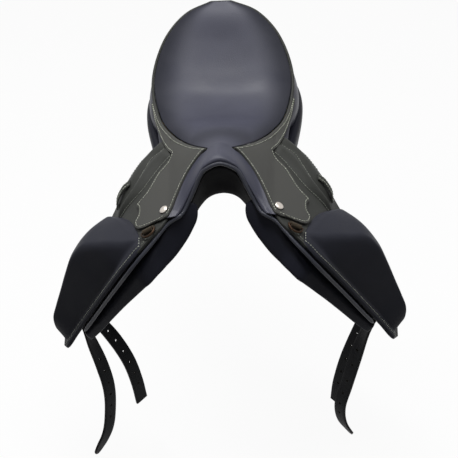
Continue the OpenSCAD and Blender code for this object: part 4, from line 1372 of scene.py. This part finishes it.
def skirt_seams(skirt, side):
    outline = [k[1] for k in SKIRT_FIXED_EDGE[1:2]] + [(s, y) for y, s in SKIRT_LOWER_EDGE]
    outline += [k[1] for k in SKIRT_FIXED_EDGE[5:8]]
    edge = inside_line(outline, SKIRT_SEAM)
    down = np.linspace(*SKIRT_SEAM_W, 60)
    upper = [skirt_at(np.full_like(down, SKIRT_SEAM_T), down),
             seam_in(np.linspace(SKIRT_TAIL_SEAM_T, 1, 60), SKIRT_SEAM, True),
             seam_in(np.linspace(SKIRT_SEAM_T, 1, 160), SKIRT_UPPER_SEAM, False)]
    return ([slope_row(skirt, edge[:, 0], edge[:, 1], side)]
            + [lay_on(skirt, line, TOP_SLOPE, side) for line in upper])


def make_skirt(side):
    first, last = SKIRT_FREE
    fixed = new_grid("fixed", SKIRT_COLUMNS, 16, skirt_at, side)
    free_columns = round((last - first) * SKIRT_COLUMNS)
    free = new_grid("free", free_columns, 12, lambda u, v: skirt_free_at(mix(first, last, u), v), side)
    skirt = join(f"{side}_skirt_leather", [fixed, free])
    weld(skirt, 0.1)
    outwards(skirt)
    face(skirt, sideways(side))
    thicken(skirt, SKIRT_T)
    dress(skirt, skirt_hide, "skirt_leather", f"{side}_skirt_top", f"{side}_skirt_lower")
    bend_skirt(skirt, side)
    row = stitch_row(f"{side}_skirt_stitching", skirt_seams(skirt, side), cream_thread, "skirt_leather", side)
    bend_skirt(row, side)


for side in SIDES:
    make_skirt(side)

# %% [markdown]
# A stud of brushed nickel holds the front corner of each skirt. It is turned metal: a flat cylinder whose top
# is inset and raised in two steps, with its edges bevelled.

# %% Studs
STUD_D = 14
STUD_H = 4
STUD_S = 0
STUD_Y = -199
STUD_RISE = SKIRT_OUT + 2 * SEAT_GAP
STUD_BEVEL = 0.35
STUD_STEPS = ((1.0, 0.9), (2.0, 0.7), (2.4, 0.3))


def slope_matrix(side, s, y, d):
    """Frame on the slope: x down it, y aft along it and z out of it."""
    a = float(slope_angle(s))
    down = Vector((math.cos(a), 0, -math.sin(a)))
    aft = Vector((FLARE * math.sin(a), 1, FLARE * math.cos(a))).normalized()
    turned = Matrix((down, aft, down.cross(aft))).transposed().to_4x4()
    placed = Matrix.Translation(slope_place("left", s, y, d)) @ turned
    return Matrix.Diagonal((SIDES[side], 1, 1, 1)) @ placed


def make_stud(side):
    stud = primitive(f"{side}_stud", bpy.ops.mesh.primitive_cylinder_add, vertices=48, radius=STUD_D / 2 * MM,
                     depth=STUD_H / 2 * MM, location=(0, 0, STUD_H / 4 * MM))
    bpy.ops.object.transform_apply(location=True)
    bpy.ops.object.mode_set(mode="EDIT")
    bpy.ops.mesh.select_all(action="DESELECT")
    bpy.ops.object.mode_set(mode="OBJECT")
    for polygon in stud.data.polygons:
        polygon.select = polygon.normal.z > 0.9
    bpy.ops.object.mode_set(mode="EDIT")
    bpy.ops.mesh.select_mode(type="FACE")
    for inset, rise in STUD_STEPS:
        bpy.ops.mesh.inset(thickness=inset * MM)
        bpy.ops.transform.translate(value=(0, 0, rise * MM))
    bpy.ops.object.mode_set(mode="OBJECT")
    bevel(stud, STUD_BEVEL, 3, 25)
    stud.data.transform(slope_matrix(side, STUD_S, STUD_Y, STUD_RISE))
    outwards(stud)
    smooth(stud, 30)
    dress_fixed(stud, brushed_nickel, "stud_steel", f"{side}_skirt_stud")


for side in SIDES:
    make_stud(side)

# %% [markdown]
# The girth straps are cut from bridle hide, punched for a buckle and sewn along both edges. Each is one strip
# that runs down under the flap and then hangs free; it is laid out as a strip, thickened, bevelled and
# punched with round cutters.

# %% Girth straps
STRAP_HINGE_S = LEG_END_S + 6
STRAP_ROWS = 130
STRAP_EDGE = 3
STRAP_POINT = 0.25
STRAP_BEVEL = 0.8
STRAP_SEAM_V = (0.02, 0.97)
STRAP_SEAM_RISE = 0.1
HOLE_D = 5
HOLE_PITCH = 25
HOLE_COUNT = 6
FIRST_HOLE = 0.3
TAIL_TURN = math.radians(40)
TAIL_TURN_END = 0.4
TAIL_BEND = 24
TAILS = {
    ("left", "front"): [(0, 0, 0), (-17, 0, -40), (-31, 0, -90), (-46, 0, -160), (-56, 0, -210),
                        (-52, 0, -250), (-34, 0, -284)],
    ("left", "rear"): [(0, 0, 0), (-16, 0, -40), (-30, 0, -80), (-48, 0, -140), (-60, 0, -200),
                       (-64, 0, -246)],
    ("right", "front"): [(0, 0, 0), (-8, 0, -40), (-20, 0, -95), (-26, 0, -150), (-22, 0, -205),
                         (-12, -8, -254), (12, -24, -296)],
    ("right", "rear"): [(0, 0, 0), (-24, 0, -40), (-46, 0, -80), (-64, 0, -130), (-73, 0, -180),
                        (-77, 0, -228)],
}


def tail_at(side, which, t):
    """Middle of a strap's free end, t from its hinge to its tip."""
    return on_slope(STRAP_HINGE_S, STRAP_Y[which], STRAP_MID) + along(TAILS[side, which], t)


def tail_chord(side, which):
    """Straight length of a strap's free end."""
    return np.linalg.norm(np.array(TAILS[side, which][-1], float))


def strap_course(side, which):
    """Points down the middle of a strap, with the directions across it and out of it."""
    s = np.linspace(WEB_END_S + SEAT_GAP, STRAP_HINGE_S, 90)
    t = np.linspace(0, 1, 160)[1:]
    middle = np.concatenate([on_slope(s, STRAP_Y[which], STRAP_MID), tail_at(side, which, t)])
    turn = np.concatenate([np.zeros(len(s)), TAIL_TURN * ease(t / TAIL_TURN_END)])
    run = run_of(middle)
    even = np.linspace(0, run[-1], STRAP_ROWS + 1)
    middle = at_run(middle, run, even)
    turn = np.interp(even, run, turn)
    ahead = unit(np.gradient(middle, axis=0))
    out = unit(np.cross(ahead, points(-np.sin(turn), np.cos(turn), 0)))
    across = unit(np.cross(out, ahead))
    return even, middle, across, -out


def strap_width(which, even):
    """Half width down a strap: the front straps end in a point, the rear ones are cut square."""
    if which == "rear":
        return np.full_like(even, STRAP_W / 2)
    left = even[-1] - even
    return STRAP_W / 2 * mix(STRAP_POINT, 1, np.sqrt(np.clip(left / STRAP_W, 0, 1)))


# %% Straps with their holes
def bend_strap(piece, side, which):
    start = Vector(on_side(tail_at(side, which, 0) * MM, side))
    end = Vector(on_side(tail_at(side, which, TAIL_BEND / tail_chord(side, which)) * MM, side))
    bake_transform(piece)


def punch(strap, side, which):
    """Cuts the row of round buckle holes."""
    middle, out = strap_course(side, which)[1::2]
    cutters = []
    for k in range(HOLE_COUNT):
        centre = tail_at(side, which, FIRST_HOLE + k * HOLE_PITCH / tail_chord(side, which))
        i = np.argmin(np.linalg.norm(middle - centre, axis=1))
        cutter = primitive("cutter", bpy.ops.mesh.primitive_cylinder_add, vertices=20, radius=HOLE_D / 2 * MM,
                           depth=4 * STRAP_T * MM)
        way = Vector(on_side(out[i], side)).to_track_quat("Z", "Y").to_matrix().to_4x4()
        cutter.data.transform(Matrix.Translation(Vector(on_side(centre * MM, side))) @ way)
        cutters.append(cutter)
    cutter = join("cutter", cutters)
    shape_with(strap, "BOOLEAN", operation="DIFFERENCE", solver="EXACT", object=cutter)
    bpy.data.objects.remove(cutter)


def make_strap(side, which):
    even, middle, across, out = strap_course(side, which)
    half = strap_width(which, even)

    def place(u, v, rise=STRAP_T / 2, inset=0):
        i = np.rint(v * STRAP_ROWS).astype(int)
        aside = ((2 * u - 1) * (half[i] - inset))[:, None]
        return middle[i] + across[i] * aside + out[i] * rise

    strap = new_grid(f"{side}_{which}_girth_strap", 6, STRAP_ROWS, place, side)
    face(strap, sideways(side))
    shape_with(strap, "SOLIDIFY", thickness=STRAP_T * MM, offset=-1, use_even_offset=True)
    bevel(strap, STRAP_BEVEL, 2, 50)
    punch(strap, side, which)
    smooth(strap, 40)
    dress(strap, strap_hide, "strap_leather", f"{side}_{which}_strap", f"{side}_{which}_strap_tail")
    bend_strap(strap, side, which)
    v = np.linspace(*STRAP_SEAM_V, 200)
    rows = [place(np.full_like(v, u), v, STRAP_T / 2 + STRAP_SEAM_RISE, STRAP_EDGE) for u in (0, 1)]
    row = stitch_row(f"{side}_{which}_strap_stitching", rows, black_thread, "strap_leather", side)
    bend_strap(row, side, which)


for side, which in TAILS:
    make_strap(side, which)

# %% [markdown]
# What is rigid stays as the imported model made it: the tree, the head plate and its rivets, the stirrup bars
# with their catches, and the dees on their chapes. They only need their finish.

# %% Finish of the rigid pieces
RIGID = {"tree": beech, "head_plate": forged_steel, "tree_rivets": forged_steel, "stirrup_bar": forged_steel,
         "catch_pin": brushed_nickel, "bar_catch": forged_steel, "dee_chape": strap_hide,
         "breastplate_dee": brass_in_painted_shade}
for name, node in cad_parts.items():
    kind = name.removeprefix("left_").removeprefix("right_")
    if kind in RIGID:
        node.data.materials.clear()
        node.data.materials.append(RIGID[kind])
